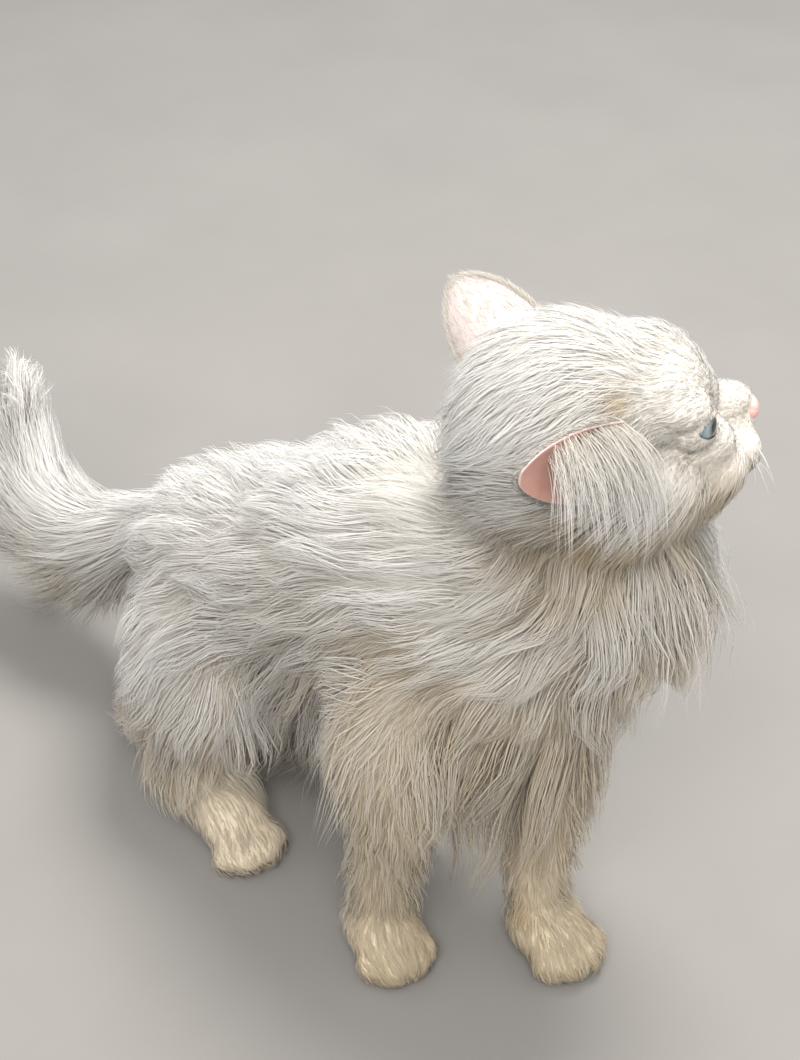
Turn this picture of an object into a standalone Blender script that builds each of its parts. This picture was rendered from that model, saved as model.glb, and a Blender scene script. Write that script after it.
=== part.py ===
"""A long-haired cat, life size, standing with lowered haunches and its head turned to its left.

Metres, +X towards the chest, +Y to the cat's left, +Z up, the floor at z = 0. Each part of the
body is one closed solid: a smooth core of flesh and undercoat, with the long coat on it as flat,
tapered locks. Where parts meet, one is cut clear of the other by GAP.
"""

import math
import random

import bmesh
import bpy
from mathutils import Matrix, Vector

GAP = 0.0003
UP = Vector((0.0, 0.0, 1.0))

# The stations below are laid out from a point under the mid back; the origin is moved from there
# to the middle of the whole cat's outline on the floor.
OUTLINE_MIDDLE = Vector((-0.0775, 0.0059, 0.0))

# Stations of a limb: centre x, y, z, half width, half height.
TORSO = (
    (-0.168, 0.000, 0.130, 0.018, 0.018),
    (-0.152, 0.000, 0.130, 0.040, 0.036),
    (-0.115, 0.000, 0.136, 0.056, 0.054),
    (-0.070, 0.000, 0.150, 0.062, 0.063),
    (-0.020, 0.000, 0.178, 0.063, 0.071),
    (0.030, 0.000, 0.204, 0.062, 0.078),
    (0.070, 0.004, 0.212, 0.059, 0.079),
    (0.105, 0.009, 0.197, 0.054, 0.071),
    (0.132, 0.014, 0.186, 0.040, 0.054),
    (0.148, 0.016, 0.182, 0.018, 0.026),
)
NECK = (
    (0.128, 0.024, 0.330, 0.030, 0.032),
    (0.128, 0.027, 0.314, 0.042, 0.046),
    (0.128, 0.034, 0.290, 0.050, 0.056),
    (0.129, 0.040, 0.262, 0.056, 0.062),
    (0.127, 0.037, 0.236, 0.056, 0.061),
    (0.120, 0.029, 0.214, 0.046, 0.050),
    (0.116, 0.026, 0.205, 0.030, 0.034),
)
FORELEG_RIGHT = (
    (0.070, -0.036, 0.184, 0.024, 0.030),
    (0.078, -0.050, 0.146, 0.031, 0.034),
    (0.085, -0.052, 0.110, 0.026, 0.029),
    (0.081, -0.053, 0.075, 0.022, 0.023),
    (0.077, -0.054, 0.040, 0.020, 0.021),
    (0.078, -0.055, 0.026, 0.017, 0.017),
)
FORELEG_LEFT = (
    (0.098, 0.038, 0.182, 0.024, 0.030),
    (0.106, 0.042, 0.144, 0.031, 0.034),
    (0.120, 0.030, 0.108, 0.026, 0.029),
    (0.125, 0.020, 0.073, 0.022, 0.023),
    (0.130, 0.013, 0.040, 0.020, 0.021),
    (0.132, 0.012, 0.026, 0.017, 0.017),
)
THIGH = (
    (-0.090, -0.026, 0.148, 0.020, 0.028),
    (-0.088, -0.036, 0.132, 0.034, 0.048),
    (-0.083, -0.045, 0.105, 0.038, 0.056),
    (-0.080, -0.051, 0.076, 0.034, 0.050),
    (-0.082, -0.054, 0.051, 0.026, 0.036),
    (-0.084, -0.055, 0.042, 0.014, 0.020),
)
HIND_FOOT = (
    (-0.142, -0.047, 0.036, 0.012, 0.014),
    (-0.134, -0.049, 0.033, 0.018, 0.022),
    (-0.104, -0.054, 0.029, 0.018, 0.020),
    (-0.071, -0.059, 0.023, 0.020, 0.019),
    (-0.038, -0.064, 0.016, 0.023, 0.017),
    (-0.024, -0.066, 0.012, 0.019, 0.011),
)
TAIL = (
    (-0.150, 0.000, 0.130, 0.022, 0.022),
    (-0.178, -0.003, 0.119, 0.026, 0.026),
    (-0.210, -0.010, 0.098, 0.028, 0.028),
    (-0.244, -0.018, 0.086, 0.028, 0.028),
    (-0.274, -0.022, 0.093, 0.027, 0.027),
    (-0.292, -0.022, 0.115, 0.025, 0.025),
    (-0.297, -0.020, 0.140, 0.020, 0.020),
    (-0.297, -0.018, 0.160, 0.009, 0.009),
)
TAIL_SPLIT = 0.54

# Middles of the soles, and how far each foot points away from +X, in degrees.
PAWS = {
    "forepaw_right": (Vector((0.082, -0.056, 0.0)), -18.0),
    "forepaw_left": (Vector((0.142, 0.011, 0.0)), -6.0),
}
HINDPAW_RIGHT = Vector((-0.036, -0.065, 0.0))
HINDPAW_TURN = -9.0

# Head frame: origin at the middle of the skull, x forwards, y to the left, z up.
HEAD_AT = Vector((0.136, 0.026, 0.331))
HEAD_YAW = 66.0
HEAD_PITCH = 2.0
EYE_AT = Vector((0.0385, 0.0253, 0.0120))
EYE_RADIUS = 0.0108
EYE_LOOK_OUT = 34.0
EYE_LOOK_UP = 5.0
NOSE_AT = Vector((0.0808, 0.0, -0.0035))

# Root of each ear at its front and rear edge, and its tip. The right ear is laid out sideways.
EARS = {
    "ear_right": ((-0.006, -0.044, 0.036), (-0.032, -0.056, 0.006), (-0.063, -0.066, 0.037)),
    "ear_left": ((-0.008, 0.044, 0.041), (-0.044, 0.050, 0.020), (-0.038, 0.076, 0.049)),
}


def clear_scene():
    for old in list(bpy.data.objects):
        bpy.data.objects.remove(old)


def material(name, colour, roughness):
    made = bpy.data.materials.new(name)
    made.use_nodes = True
    shader = made.node_tree.nodes["Principled BSDF"]
    shader.inputs["Base Color"].default_value = (*colour, 1.0)
    shader.inputs["Roughness"].default_value = roughness
    shader.inputs["Metallic"].default_value = 0.0
    return made


def new_object(name, form):
    """An object in the scene with the mesh that a bmesh holds, in triangles that point out."""
    bmesh.ops.triangulate(form, faces=form.faces, quad_method="FIXED")
    bmesh.ops.recalc_face_normals(form, faces=form.faces)
    mesh = bpy.data.meshes.new(name)
    form.to_mesh(mesh)
    form.free()
    made = bpy.data.objects.new(name, mesh)
    bpy.context.scene.collection.objects.link(made)
    return made


def strip(form, loops, closed=True):
    """Faces between each loop of vertices and the next one."""
    for lower, upper in zip(loops, loops[1:]):
        for k in range(0 if closed else 1, len(lower)):
            form.faces.new((lower[k - 1], lower[k], upper[k], upper[k - 1]))


def mirrored(stations):
    return tuple((x, -y, z, wide, high) for x, y, z, wide, high in stations)


def between(a, b, c, d, t):
    """A smooth curve from b to c, t from 0 to 1, that also heeds the neighbours a and d."""
    return 0.5 * (
        2.0 * b + (c - a) * t + (2.0 * a - 5.0 * b + 4.0 * c - d) * t**2
        + (3.0 * b - a - 3.0 * c + d) * t**3
    )


class Limb:
    """A smooth round form through stations, from s = 0 at the first to s = 1 at the last.

    Its sections stand square to its own curve, or all square to axis where one is given.
    """

    def __init__(self, stations, axis=None):
        self.stations = stations
        self.axis = axis

    def values(self, s):
        place = min(max(s, 0.0), 1.0) * (len(self.stations) - 1)
        i = min(int(place), len(self.stations) - 2)
        last = len(self.stations) - 1
        rows = [self.stations[min(max(k, 0), last)] for k in (i - 1, i, i + 1, i + 2)]
        return [between(*column, place - i) for column in zip(*rows)]

    def centre(self, s):
        return Vector(self.values(s)[:3])

    def along(self, s):
        if self.axis:
            return self.axis
        step = 0.02
        return (self.centre(min(s + step, 1.0)) - self.centre(max(s - step, 0.0))).normalized()

    def frame(self, s):
        """Centre, the way along, the side and the top of the section, its half width and height."""
        values = self.values(s)
        along = self.along(s)
        side = Vector((0.0, -1.0, 0.0))
        side = (side - along * side.dot(along)).normalized()
        top = side.cross(along).normalized()
        return Vector(values[:3]), along, side, top, values[3], values[4]

    def point(self, s, turn, grow=0.0):
        """The surface at s, turn degrees round from the top towards the cat's right."""
        centre, _, side, top, wide, high = self.frame(s)
        angle = math.radians(turn)
        return centre + side * (wide + grow) * math.sin(angle) + top * (high + grow) * math.cos(angle)

    def lengthwise(self, s, turn):
        """The way along the surface itself, which leans in or out where the form tapers."""
        step = 0.015
        return (self.point(min(s + step, 1.0), turn) - self.point(max(s - step, 0.0), turn)).normalized()

    def normal(self, s, turn):
        around = self.point(s, turn + 4.0) - self.point(s, turn - 4.0)
        normal = around.cross(self.lengthwise(s, turn)).normalized()
        if normal.dot(self.point(s, turn) - self.centre(s)) < 0.0:
            normal = -normal
        return normal

    def solid(self, name, rings=12, sides=16, grow=0.0, start=0.0, end=1.0):
        form = bmesh.new()
        loops = []
        for i in range(rings):
            s = start + (end - start) * i / (rings - 1)
            push = Vector()
            if i == 0:
                push = self.along(s) * -grow
            if i == rings - 1:
                push = self.along(s) * grow
            turns = [360.0 * k / sides for k in range(sides)]
            loops.append([form.verts.new(self.point(s, turn, grow) + push) for turn in turns])
        strip(form, loops)
        form.faces.new(loops[0])
        form.faces.new(loops[-1])
        return new_object(name, form)


def mass(name, centre, radii, basis=None, level=2, grow=0.0):
    """A rounded body: a sphere of three radii, turned by basis."""
    form = bmesh.new()
    bmesh.ops.create_icosphere(form, subdivisions=level, radius=1.0)
    scale = Matrix.Diagonal([*(radius + grow for radius in radii), 1.0])
    turn = basis.to_4x4() if basis else Matrix.Identity(4)
    bmesh.ops.transform(form, matrix=Matrix.Translation(centre) @ turn @ scale, verts=form.verts)
    return new_object(name, form)


# Along a lock: how far out, its share of the full width, and its share of the thickness.
LOCK_SECTIONS = ((0.0, 0.75, 1.0), (0.38, 1.0, 0.85), (0.76, 0.62, 0.55))


class Lock:
    """Measures of one lock: length, width, thickness, how far its tip lifts off and hangs."""

    def __init__(self, length, width, thick=0.008, lift=0.010, droop=0.0, sink=0.006):
        self.length = length
        self.width = width
        self.thick = thick
        self.lift = lift
        self.droop = droop
        self.sink = sink

    def made(self, root, normal, lie, draw, grow=0.0):
        """The lock as a solid with a flat under side and a ridge, leaving root along lie."""
        stretch = draw.uniform(0.85, 1.18)
        length = self.length * stretch
        sweep = draw.uniform(-0.16, 0.16) * length
        lie = (lie - normal * lie.dot(normal)).normalized()
        side = normal.cross(lie).normalized()

        def spine(s):
            out = normal * (self.lift * stretch * s**1.4 - self.sink * (1.0 - s) ** 2)
            return root + lie * length * s + out + side * sweep * s * s - UP * self.droop * s * s

        form = bmesh.new()
        loops = []
        for s, wide, deep in LOCK_SECTIONS:
            across = side * (0.5 * self.width * wide + 4.0 * grow)
            deep_here = 0.5 * self.thick * deep
            middle = spine(s)
            if s == 0.0:
                middle = middle + (middle - spine(LOCK_SECTIONS[1][0])).normalized() * 2.0 * grow
            under = middle - normal * (deep_here + grow)
            ridge = middle + normal * (deep_here + 2.0 * grow)
            loops.append([form.verts.new(corner) for corner in (under - across, ridge, under + across)])
        end_way = (spine(1.0) - spine(LOCK_SECTIONS[-1][0])).normalized()
        tip = form.verts.new(spine(1.0) + end_way * 6.0 * grow)
        strip(form, loops)
        for k in range(3):
            form.faces.new((loops[-1][k - 1], loops[-1][k], tip))
        form.faces.new(loops[0])
        return new_object("lock", form)


def apply_modifiers(body):
    graph = bpy.context.evaluated_depsgraph_get()
    made = bpy.data.meshes.new_from_object(body.evaluated_get(graph))
    body.modifiers.clear()
    body.data = made
    made.name = body.name


def joined(name, pieces):
    """One closed body made of the pieces; the others are removed once they are in it."""
    group = bpy.data.collections.new(name + "_pieces")
    first, rest = pieces[0], pieces[1:]
    for piece in rest:
        group.objects.link(piece)
    first.name = name
    if rest:
        union = first.modifiers.new("join", "BOOLEAN")
        union.operation = "UNION"
        union.operand_type = "COLLECTION"
        union.collection = group
        union.solver = "MANIFOLD"
        apply_modifiers(first)
    for piece in rest:
        bpy.data.objects.remove(piece)
    bpy.data.collections.remove(group)
    return keep_largest(first)


def cut(body, *cutters):
    """The body less each cutter, which is then removed."""
    for cutter in cutters:
        difference = body.modifiers.new("cut", "BOOLEAN")
        difference.operation = "DIFFERENCE"
        difference.object = cutter
        difference.solver = "MANIFOLD"
        apply_modifiers(body)
        bpy.data.objects.remove(cutter)
    return keep_largest(body)


def keep_largest(body):
    """Leaves only the closed surface of the largest extent, with no hollow inside and no scrap."""
    form = bmesh.new()
    form.from_mesh(body.data)
    form.faces.ensure_lookup_table()
    unseen = set(range(len(form.faces)))
    shells = []
    while unseen:
        stack = [unseen.pop()]
        shell = []
        while stack:
            face = form.faces[stack.pop()]
            shell.append(face)
            for edge in face.edges:
                for other in edge.link_faces:
                    if other.index in unseen:
                        unseen.remove(other.index)
                        stack.append(other.index)
        shells.append(shell)
    kept = max(shells, key=extent)
    dropped = [face for shell in shells if shell is not kept for face in shell]
    bmesh.ops.delete(form, geom=dropped, context="FACES")
    bmesh.ops.dissolve_limit(form, angle_limit=0.03, verts=form.verts, edges=form.edges)
    bmesh.ops.triangulate(form, faces=form.faces)
    form.to_mesh(body.data)
    form.free()
    return body


def extent(shell):
    corners = [vert.co for face in shell for vert in face.verts]
    return sum(max(c[k] for c in corners) - min(c[k] for c in corners) for k in range(3))


def coat_on(limb, kind, rows, turns, seed, back=-1.0, down=0.3, grow=0.0):
    """Rows of locks on a limb at each s of rows, every second row half a step round."""
    draw = random.Random(seed)
    made = []
    gap = turns[1] - turns[0]
    for row, s in enumerate(rows):
        for turn in turns:
            turn_here = turn + gap * (0.25 if row % 2 else -0.25) + draw.uniform(-0.14, 0.14) * gap
            s_here = s + draw.uniform(-0.012, 0.012)
            normal = limb.normal(s_here, turn_here)
            lie = limb.lengthwise(s_here, turn_here) * back - UP * down * (1.0 - abs(normal.z))
            made.append(kind.made(limb.point(s_here, turn_here), normal, lie, draw, grow))
    return made


def spread(first, last, count):
    """Values from first to last, evenly spaced."""
    return [first + (last - first) * k / (count - 1) for k in range(count)]


def torso_pieces(grow=0.0):
    limb = Limb(TORSO, Vector((1.0, 0.0, 0.0)))
    pieces = [limb.solid("torso", rings=12, sides=14, grow=grow)]
    back = Lock(0.055, 0.034, 0.009, 0.009, 0.009, 0.005)
    pieces += coat_on(limb, back, spread(0.22, 0.67, 6), spread(-98, 98, 6), 11, -1.0, 0.45, grow)
    pieces += coat_on(limb, back, (0.77,), (-114, -74, 74, 114), 15, -0.7, 1.0, grow)
    fringe = Lock(0.064, 0.033, 0.009, 0.012, 0.016, 0.005)
    pieces += coat_on(limb, fringe, (0.42, 0.54), (-140, -116, 116, 140), 14, -0.25, 2.4, grow)
    rump = Lock(0.036, 0.030, 0.008, 0.005, 0.004, 0.005)
    pieces += coat_on(limb, rump, (0.12,), spread(-120, 120, 5), 12, -1.0, 0.3, grow)
    chest = Lock(0.046, 0.029, 0.009, 0.022, 0.008, 0.005)
    pieces += coat_on(limb, chest, (0.79, 0.88), spread(135, 225, 3), 13, -0.3, 1.2, grow)
    return pieces


def neck_pieces(grow=0.0):
    """The neck with its ruff, which hangs in front as a bib."""
    limb = Limb(NECK)
    pieces = [limb.solid("neck", rings=9, sides=14, grow=grow)]
    collar = Lock(0.046, 0.034, 0.009, 0.004, 0.006, 0.005)
    pieces += coat_on(limb, collar, (0.20,), spread(-180, 135, 8), 22, 1.0, 0.9, grow)
    ruff = Lock(0.056, 0.035, 0.009, 0.002, 0.012, 0.005)
    pieces += coat_on(limb, ruff, (0.38, 0.54), spread(-180, 135, 8), 21, 1.0, 0.6, grow)
    bib = Lock(0.054, 0.033, 0.009, 0.008, 0.003, 0.005)
    pieces += coat_on(limb, bib, (0.70,), spread(-100, 60, 5), 23, 1.0, 0.3, grow)
    return pieces


def head_matrix():
    turn = Matrix.Rotation(math.radians(HEAD_YAW), 4, "Z")
    nod = Matrix.Rotation(math.radians(-HEAD_PITCH), 4, "Y")
    return Matrix.Translation(HEAD_AT) @ turn @ nod


# Masses of the head in its own frame: centre forwards, left and up, then the radii.
CRANIUM = (Vector((-0.009, 0.0, 0.010)), Vector((0.052, 0.049, 0.053)))
CHEEK = (Vector((0.016, 0.031, -0.015)), Vector((0.032, 0.025, 0.026)))
MIDDLE_MASSES = (
    CRANIUM,
    (Vector((0.024, 0.0, 0.019)), Vector((0.037, 0.040, 0.031))),
    (Vector((0.052, 0.0, -0.016)), Vector((0.029, 0.026, 0.021))),
    (Vector((0.066, 0.0, -0.0385)), Vector((0.0140, 0.0145, 0.0105))),
    (Vector((0.066, 0.0, 0.002)), Vector((0.0165, 0.0115, 0.0090))),
    (Vector((0.069, 0.0, -0.0105)), Vector((0.0150, 0.0125, 0.0120))),
)
PAIRED_MASSES = (
    CHEEK,
    (Vector((0.0700, 0.0095, -0.0210)), Vector((0.0140, 0.0130, 0.0130))),
    (Vector((0.0325, 0.0245, 0.0225)), Vector((0.0170, 0.0175, 0.0110))),
    (Vector((0.0470, 0.0190, -0.0035)), Vector((0.0170, 0.0170, 0.0135))),
    (Vector((0.0420, 0.0165, -0.0310)), Vector((0.0270, 0.0190, 0.0155))),
)


def blended(name, pieces, voxel, share, grow=0.0):
    """The pieces run into one smooth body, keeping this share of its faces."""
    body = joined(name, pieces)
    remesh = body.modifiers.new("blend", "REMESH")
    remesh.mode = "VOXEL"
    remesh.voxel_size = voxel
    smooth = body.modifiers.new("soften", "SMOOTH")
    smooth.factor = 0.6
    smooth.iterations = 5
    fewer = body.modifiers.new("fewer", "DECIMATE")
    fewer.ratio = share
    apply_modifiers(body)
    normals = [vert.normal.copy() for vert in body.data.vertices]
    for vert, normal in zip(body.data.vertices, normals):
        vert.co += normal * 1.4 * grow
    return body


def head_core(grow=0.0):
    """Skull, brow, cheeks, muzzle and chin."""
    frame = head_matrix()
    basis = frame.to_3x3()
    pieces = []
    for centre, radii in MIDDLE_MASSES:
        pieces.append(mass("head", frame @ centre, radii, basis, 3))
    for centre, radii in PAIRED_MASSES:
        for hand in (-1.0, 1.0):
            at = frame @ Vector((centre.x, hand * centre.y, centre.z))
            pieces.append(mass("head", at, radii, basis, 3))
    return blended("head", pieces, 0.0028, 0.05, grow)


def hair_on_mass(shape, hand, places, kind, lie, draw, grow):
    """Locks on a rounded mass of the head, at pairs of angles round and up from straight ahead."""
    frame = head_matrix()
    basis = frame.to_3x3()
    centre, radii = shape
    made = []
    for lon, lat in places:
        lon_here = math.radians(lon + draw.uniform(-5.0, 5.0))
        lat_here = math.radians(lat + draw.uniform(-5.0, 5.0))
        level = math.cos(lat_here)
        out = Vector((level * math.cos(lon_here), level * math.sin(lon_here), math.sin(lat_here)))
        at = centre + Vector([out[k] * radii[k] for k in range(3)])
        normal = Vector([out[k] / radii[k] for k in range(3)]).normalized()
        flip = Vector((1.0, hand, 1.0))
        at, normal, lie_here = at * flip, normal * flip, lie * flip
        made.append(kind.made(frame @ at, basis @ normal, basis @ lie_here, draw, grow))
    return made


# Places on the crown and on the right cheek, as angles round and up from straight ahead.
CROWN_HAIR = ((50, 74), (-50, 74), (100, 56), (160, 54), (-160, 54), (-100, 56), (180, 28),
              (146, 20), (-146, 20), (128, 0), (-128, 0), (180, 0))
CHEEK_HAIR = ((66, 10), (104, 18), (72, -24), (106, -18), (140, -10), (86, -54), (130, -50))


def head_hair(grow=0.0):
    """The longer hair of the crown and of the cheeks, which lies back and down over the ruff."""
    draw = random.Random(31)
    crown = Lock(0.030, 0.023, 0.006, 0.005, 0.002, 0.004)
    made = hair_on_mass(CRANIUM, 1.0, CROWN_HAIR, crown, Vector((-1.0, 0.0, -0.45)), draw, grow)
    cheek = Lock(0.032, 0.020, 0.006, 0.006, 0.006, 0.004)
    for hand in (-1.0, 1.0):
        lie = Vector((-0.75, 0.30, -0.70))
        made += hair_on_mass(CHEEK, hand, CHEEK_HAIR, cheek, lie, draw, grow)
    return made


def eye_frame(hand):
    look = Matrix.Rotation(math.radians(hand * EYE_LOOK_OUT), 4, "Z")
    rise = Matrix.Rotation(math.radians(-EYE_LOOK_UP), 4, "Y")
    return head_matrix() @ Matrix.Translation((EYE_AT.x, hand * EYE_AT.y, EYE_AT.z)) @ look @ rise


def lid(hand, rise):
    """An eyelid: a rim that lies on the eyeball, above the opening or below it."""
    frame = eye_frame(hand)
    form = bmesh.new()
    sides, steps = 4, 8
    reach = EYE_RADIUS + 0.0010
    half = 0.0092
    thick = 0.0021
    loops = []
    for i in range(steps + 1):
        angle = math.pi * i / steps
        y = -half * math.cos(angle)
        z = rise * math.sin(angle)
        x = math.sqrt(max(reach**2 - y * y - z * z, 0.0))
        middle = Vector((x, y, z))
        out = middle.normalized()
        way = Vector((0.0, half * math.sin(angle), rise * math.cos(angle)))
        across = out.cross(way).normalized()
        turns = [2.0 * math.pi * k / sides for k in range(sides)]
        ring = [middle + (out * math.cos(turn) + across * math.sin(turn)) * thick for turn in turns]
        loops.append([form.verts.new(frame @ corner) for corner in ring])
    strip(form, loops)
    form.faces.new(loops[0])
    form.faces.new(loops[-1])
    return new_object("lid", form)


def eye(name, hand, grow=0.0):
    """The eyeball, a little longer from front to back, where the cornea bulges."""
    frame = eye_frame(hand)
    radii = (EYE_RADIUS * 1.05, EYE_RADIUS, EYE_RADIUS)
    return mass(name, frame.to_translation(), radii, frame.to_3x3(), 2, grow)


def nose(grow=0.0):
    """The nose leather: a short broad wedge, with the two nostrils cut into it."""
    frame = head_matrix()
    basis = frame.to_3x3()
    tip_at = frame @ (NOSE_AT + Vector((0.0, 0.0, 0.0005)))
    foot_at = frame @ (NOSE_AT + Vector((0.0, 0.0, -0.0035)))
    pieces = [
        mass("nose", tip_at, (0.0042, 0.0068, 0.0040), basis, 2, grow),
        mass("nose", foot_at, (0.0036, 0.0030, 0.0034), basis, 2, grow),
    ]
    made = joined("nose", pieces)
    if grow:
        return made
    holes = []
    for hand in (-1.0, 1.0):
        at = frame @ (NOSE_AT + Vector((0.0036, hand * 0.0042, -0.0012)))
        holes.append(mass("nostril", at, (0.0022, 0.0013, 0.0010), basis, 1))
    return cut(made, *holes)


def mouth_cutters():
    """The parting under the nose and the two lines of the lips, as thin curved blades."""
    frame = head_matrix()
    form = bmesh.new()
    bmesh.ops.create_cube(form, size=1.0)
    size = Matrix.Diagonal((0.012, 0.0010, 0.0130, 1.0))
    at = Matrix.Translation((0.0872, 0.0, -0.0165))
    bmesh.ops.transform(form, matrix=frame @ at @ size, verts=form.verts)
    blades = [new_object("parting", form)]
    for hand in (-1.0, 1.0):
        form = bmesh.new()
        loops = []
        for i in range(7):
            part = i / 6
            angle = math.radians(-3.0 + 62.0 * part)
            out = Vector((math.cos(angle), hand * math.sin(angle), 0.0))
            dip = 0.0085 * math.sin(math.pi * min(part / 0.85, 1.0))
            middle = Vector((0.053 + 0.0315 * out.x, 0.0265 * out.y, -0.0255 - dip))
            ring = []
            for reach, half in ((0.006, 0.0008), (-0.0050, 0.0005), (-0.0050, -0.0005), (0.006, -0.0008)):
                ring.append(form.verts.new(frame @ (middle + out * reach + UP * half)))
            loops.append(ring)
        strip(form, loops)
        form.faces.new(loops[0])
        form.faces.new(loops[-1])
        blades.append(new_object("lip_line", form))
    return blades


def head():
    pieces = [head_core()] + head_hair()
    for hand in (-1.0, 1.0):
        pieces += [lid(hand, 0.0068), lid(hand, -0.0063)]
    made = joined("head", pieces)
    cut(made, *mouth_cutters())
    return cut(made, eye("eye", -1.0, GAP), eye("eye", 1.0, GAP), nose(GAP))


def ear(name, hand):
    """A cupped ear, open to the front and the side, on a root that runs into the head."""
    frame = head_matrix()
    front, rear, tip = (Vector(point) for point in EARS[name])
    root = (front + rear) / 2.0
    height = tip - root
    across = (front - rear) / 2.0
    across -= height * across.dot(height) / height.length_squared
    half = across.length
    across.normalize()
    back = height.cross(across).normalized() * -hand
    rows, columns = 7, 9
    wall = 0.0024
    sink = 0.24

    def shell(v, u, inset):
        narrow = (1.0 - v**1.9) ** 0.85
        wide = (half - inset) * narrow + 0.0012
        most = math.radians(80.0 - 34.0 * v)
        deep = 0.014 * (1.0 - 0.80 * v) - inset
        at = root + height * (v - sink * (1.0 - v)) + across * wide * math.sin(most * u) / math.sin(most)
        return frame @ (at + back * (deep * math.cos(most * u) - 0.003))

    form = bmesh.new()
    places = spread(-1.0, 1.0, columns)
    heights = spread(0.0, 0.985, rows)
    outer = [[form.verts.new(shell(v, u, 0.0)) for u in places] for v in heights]
    inner = [[form.verts.new(shell(v, u, wall)) for u in places] for v in heights]
    strip(form, outer, closed=False)
    strip(form, inner, closed=False)
    for k in (0, columns - 1):
        strip(form, [[row[k] for row in outer], [row[k] for row in inner]], closed=False)
    for i in (0, rows - 1):
        strip(form, [outer[i], inner[i]], closed=False)
    return new_object(name, form)


def floor_block():
    form = bmesh.new()
    bmesh.ops.create_cube(form, size=1.0)
    bmesh.ops.transform(form, matrix=Matrix.Translation((0.0, 0.0, -0.5)), verts=form.verts)
    return new_object("floor", form)


# Toes of a paw: forwards, to the side and up from the middle of its sole, and the radius.
TOES = ((0.017, -0.0150, 0.0095, 0.0098), (0.023, -0.0055, 0.0100, 0.0104),
        (0.023, 0.0055, 0.0100, 0.0104), (0.017, 0.0150, 0.0095, 0.0098))


def paw_frame(at, turn):
    return Matrix.Translation(at) @ Matrix.Rotation(math.radians(turn), 4, "Z")


def toes(frame):
    made = []
    for forward, side, up, radius in TOES:
        radii = (radius * 1.15, radius, radius)
        made.append(mass("toe", frame @ Vector((forward, side, up)), radii, frame.to_3x3(), 3))
    return made


def toe_hair(frame, grow=0.0):
    """Tufts of hair that stand out between and beside the toes."""
    basis = frame.to_3x3()
    draw = random.Random(41)
    tuft = Lock(0.012, 0.011, 0.005, 0.001, 0.003, 0.001)
    made = []
    for forward, side in ((0.026, -0.0165), (0.034, 0.0), (0.026, 0.0165)):
        normal = Vector((0.3, side * 12.0, 1.0)).normalized()
        root = frame @ Vector((forward - 0.003, side, 0.0085))
        lie = basis @ Vector((1.0, side * 26.0, -0.1))
        made.append(tuft.made(root, basis @ normal, lie, draw, grow))
    return made


def paw(name, grow=0.0):
    """A broad round paw on a flat sole."""
    frame = paw_frame(*PAWS[name])
    body = mass(name, frame @ Vector((0.0, 0.0, 0.0145)), (0.0265, 0.0225, 0.0165), frame.to_3x3(), 3)
    body = blended(name, [body] + toes(frame), 0.0014, 0.028, grow)
    return cut(joined(name, [body] + toe_hair(frame, grow)), floor_block())


def foreleg(name, stations, hand, paw_name):
    limb = Limb(stations)
    pieces = [limb.solid(name, rings=8, sides=10)]
    upper = Lock(0.046, 0.030, 0.008, 0.001, 0.008, 0.005)
    pieces += coat_on(limb, upper, (0.14, 0.33), [hand * turn for turn in (30, 90, 150)], 52, 1.0, 0.3)
    feather = Lock(0.036, 0.024, 0.007, 0.006, 0.004)
    pieces += coat_on(limb, feather, (0.52,), (110, 180, 250), 51, 1.0, 0.3)
    return cut(joined(name, pieces), paw(paw_name, GAP))


def thigh_pieces(name, hand, grow=0.0):
    limb = Limb(THIGH if hand < 0 else mirrored(THIGH))
    pieces = [limb.solid(name, rings=7, sides=12, grow=grow)]
    coat = Lock(0.047, 0.030, 0.009, 0.009, 0.004, 0.005)
    turns = [-hand * turn for turn in (20, 75, 130, 185)]
    pieces += coat_on(limb, coat, (0.38, 0.68), turns, 61, 1.0, 0.3, grow)
    return pieces


def hind_foot(name, hand):
    """The long foot from the hock to the toes, its sole flat on the floor."""
    limb = Limb(HIND_FOOT if hand < 0 else mirrored(HIND_FOOT))
    frame = paw_frame(Vector((HINDPAW_RIGHT.x, -hand * HINDPAW_RIGHT.y, 0.0)), -hand * HINDPAW_TURN)
    body = blended(name, [limb.solid(name, rings=14, sides=16)] + toes(frame), 0.0018, 0.02)
    pieces = [body] + toe_hair(frame)
    draw = random.Random(43)
    heel = Lock(0.028, 0.018, 0.007, 0.004, 0.002, 0.004)
    for turn, s in ((0, 0.16), (80, 0.20), (-80, 0.20), (100, 0.42)):
        normal = limb.normal(s, -hand * turn)
        pieces.append(heel.made(limb.point(s, -hand * turn), normal, -limb.along(s), draw))
    return cut(joined(name, pieces), floor_block())


def tail_pieces(name, start, end, rows, grow=0.0):
    limb = Limb(TAIL)
    pieces = [limb.solid(name, rings=8, sides=12, grow=grow, start=start, end=end)]
    plume = Lock(0.062, 0.033, 0.009, 0.022, 0.0, 0.005)
    pieces += coat_on(limb, plume, rows, spread(-180, 108, 5), 71, 1.0, 0.0, grow)
    return pieces


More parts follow.
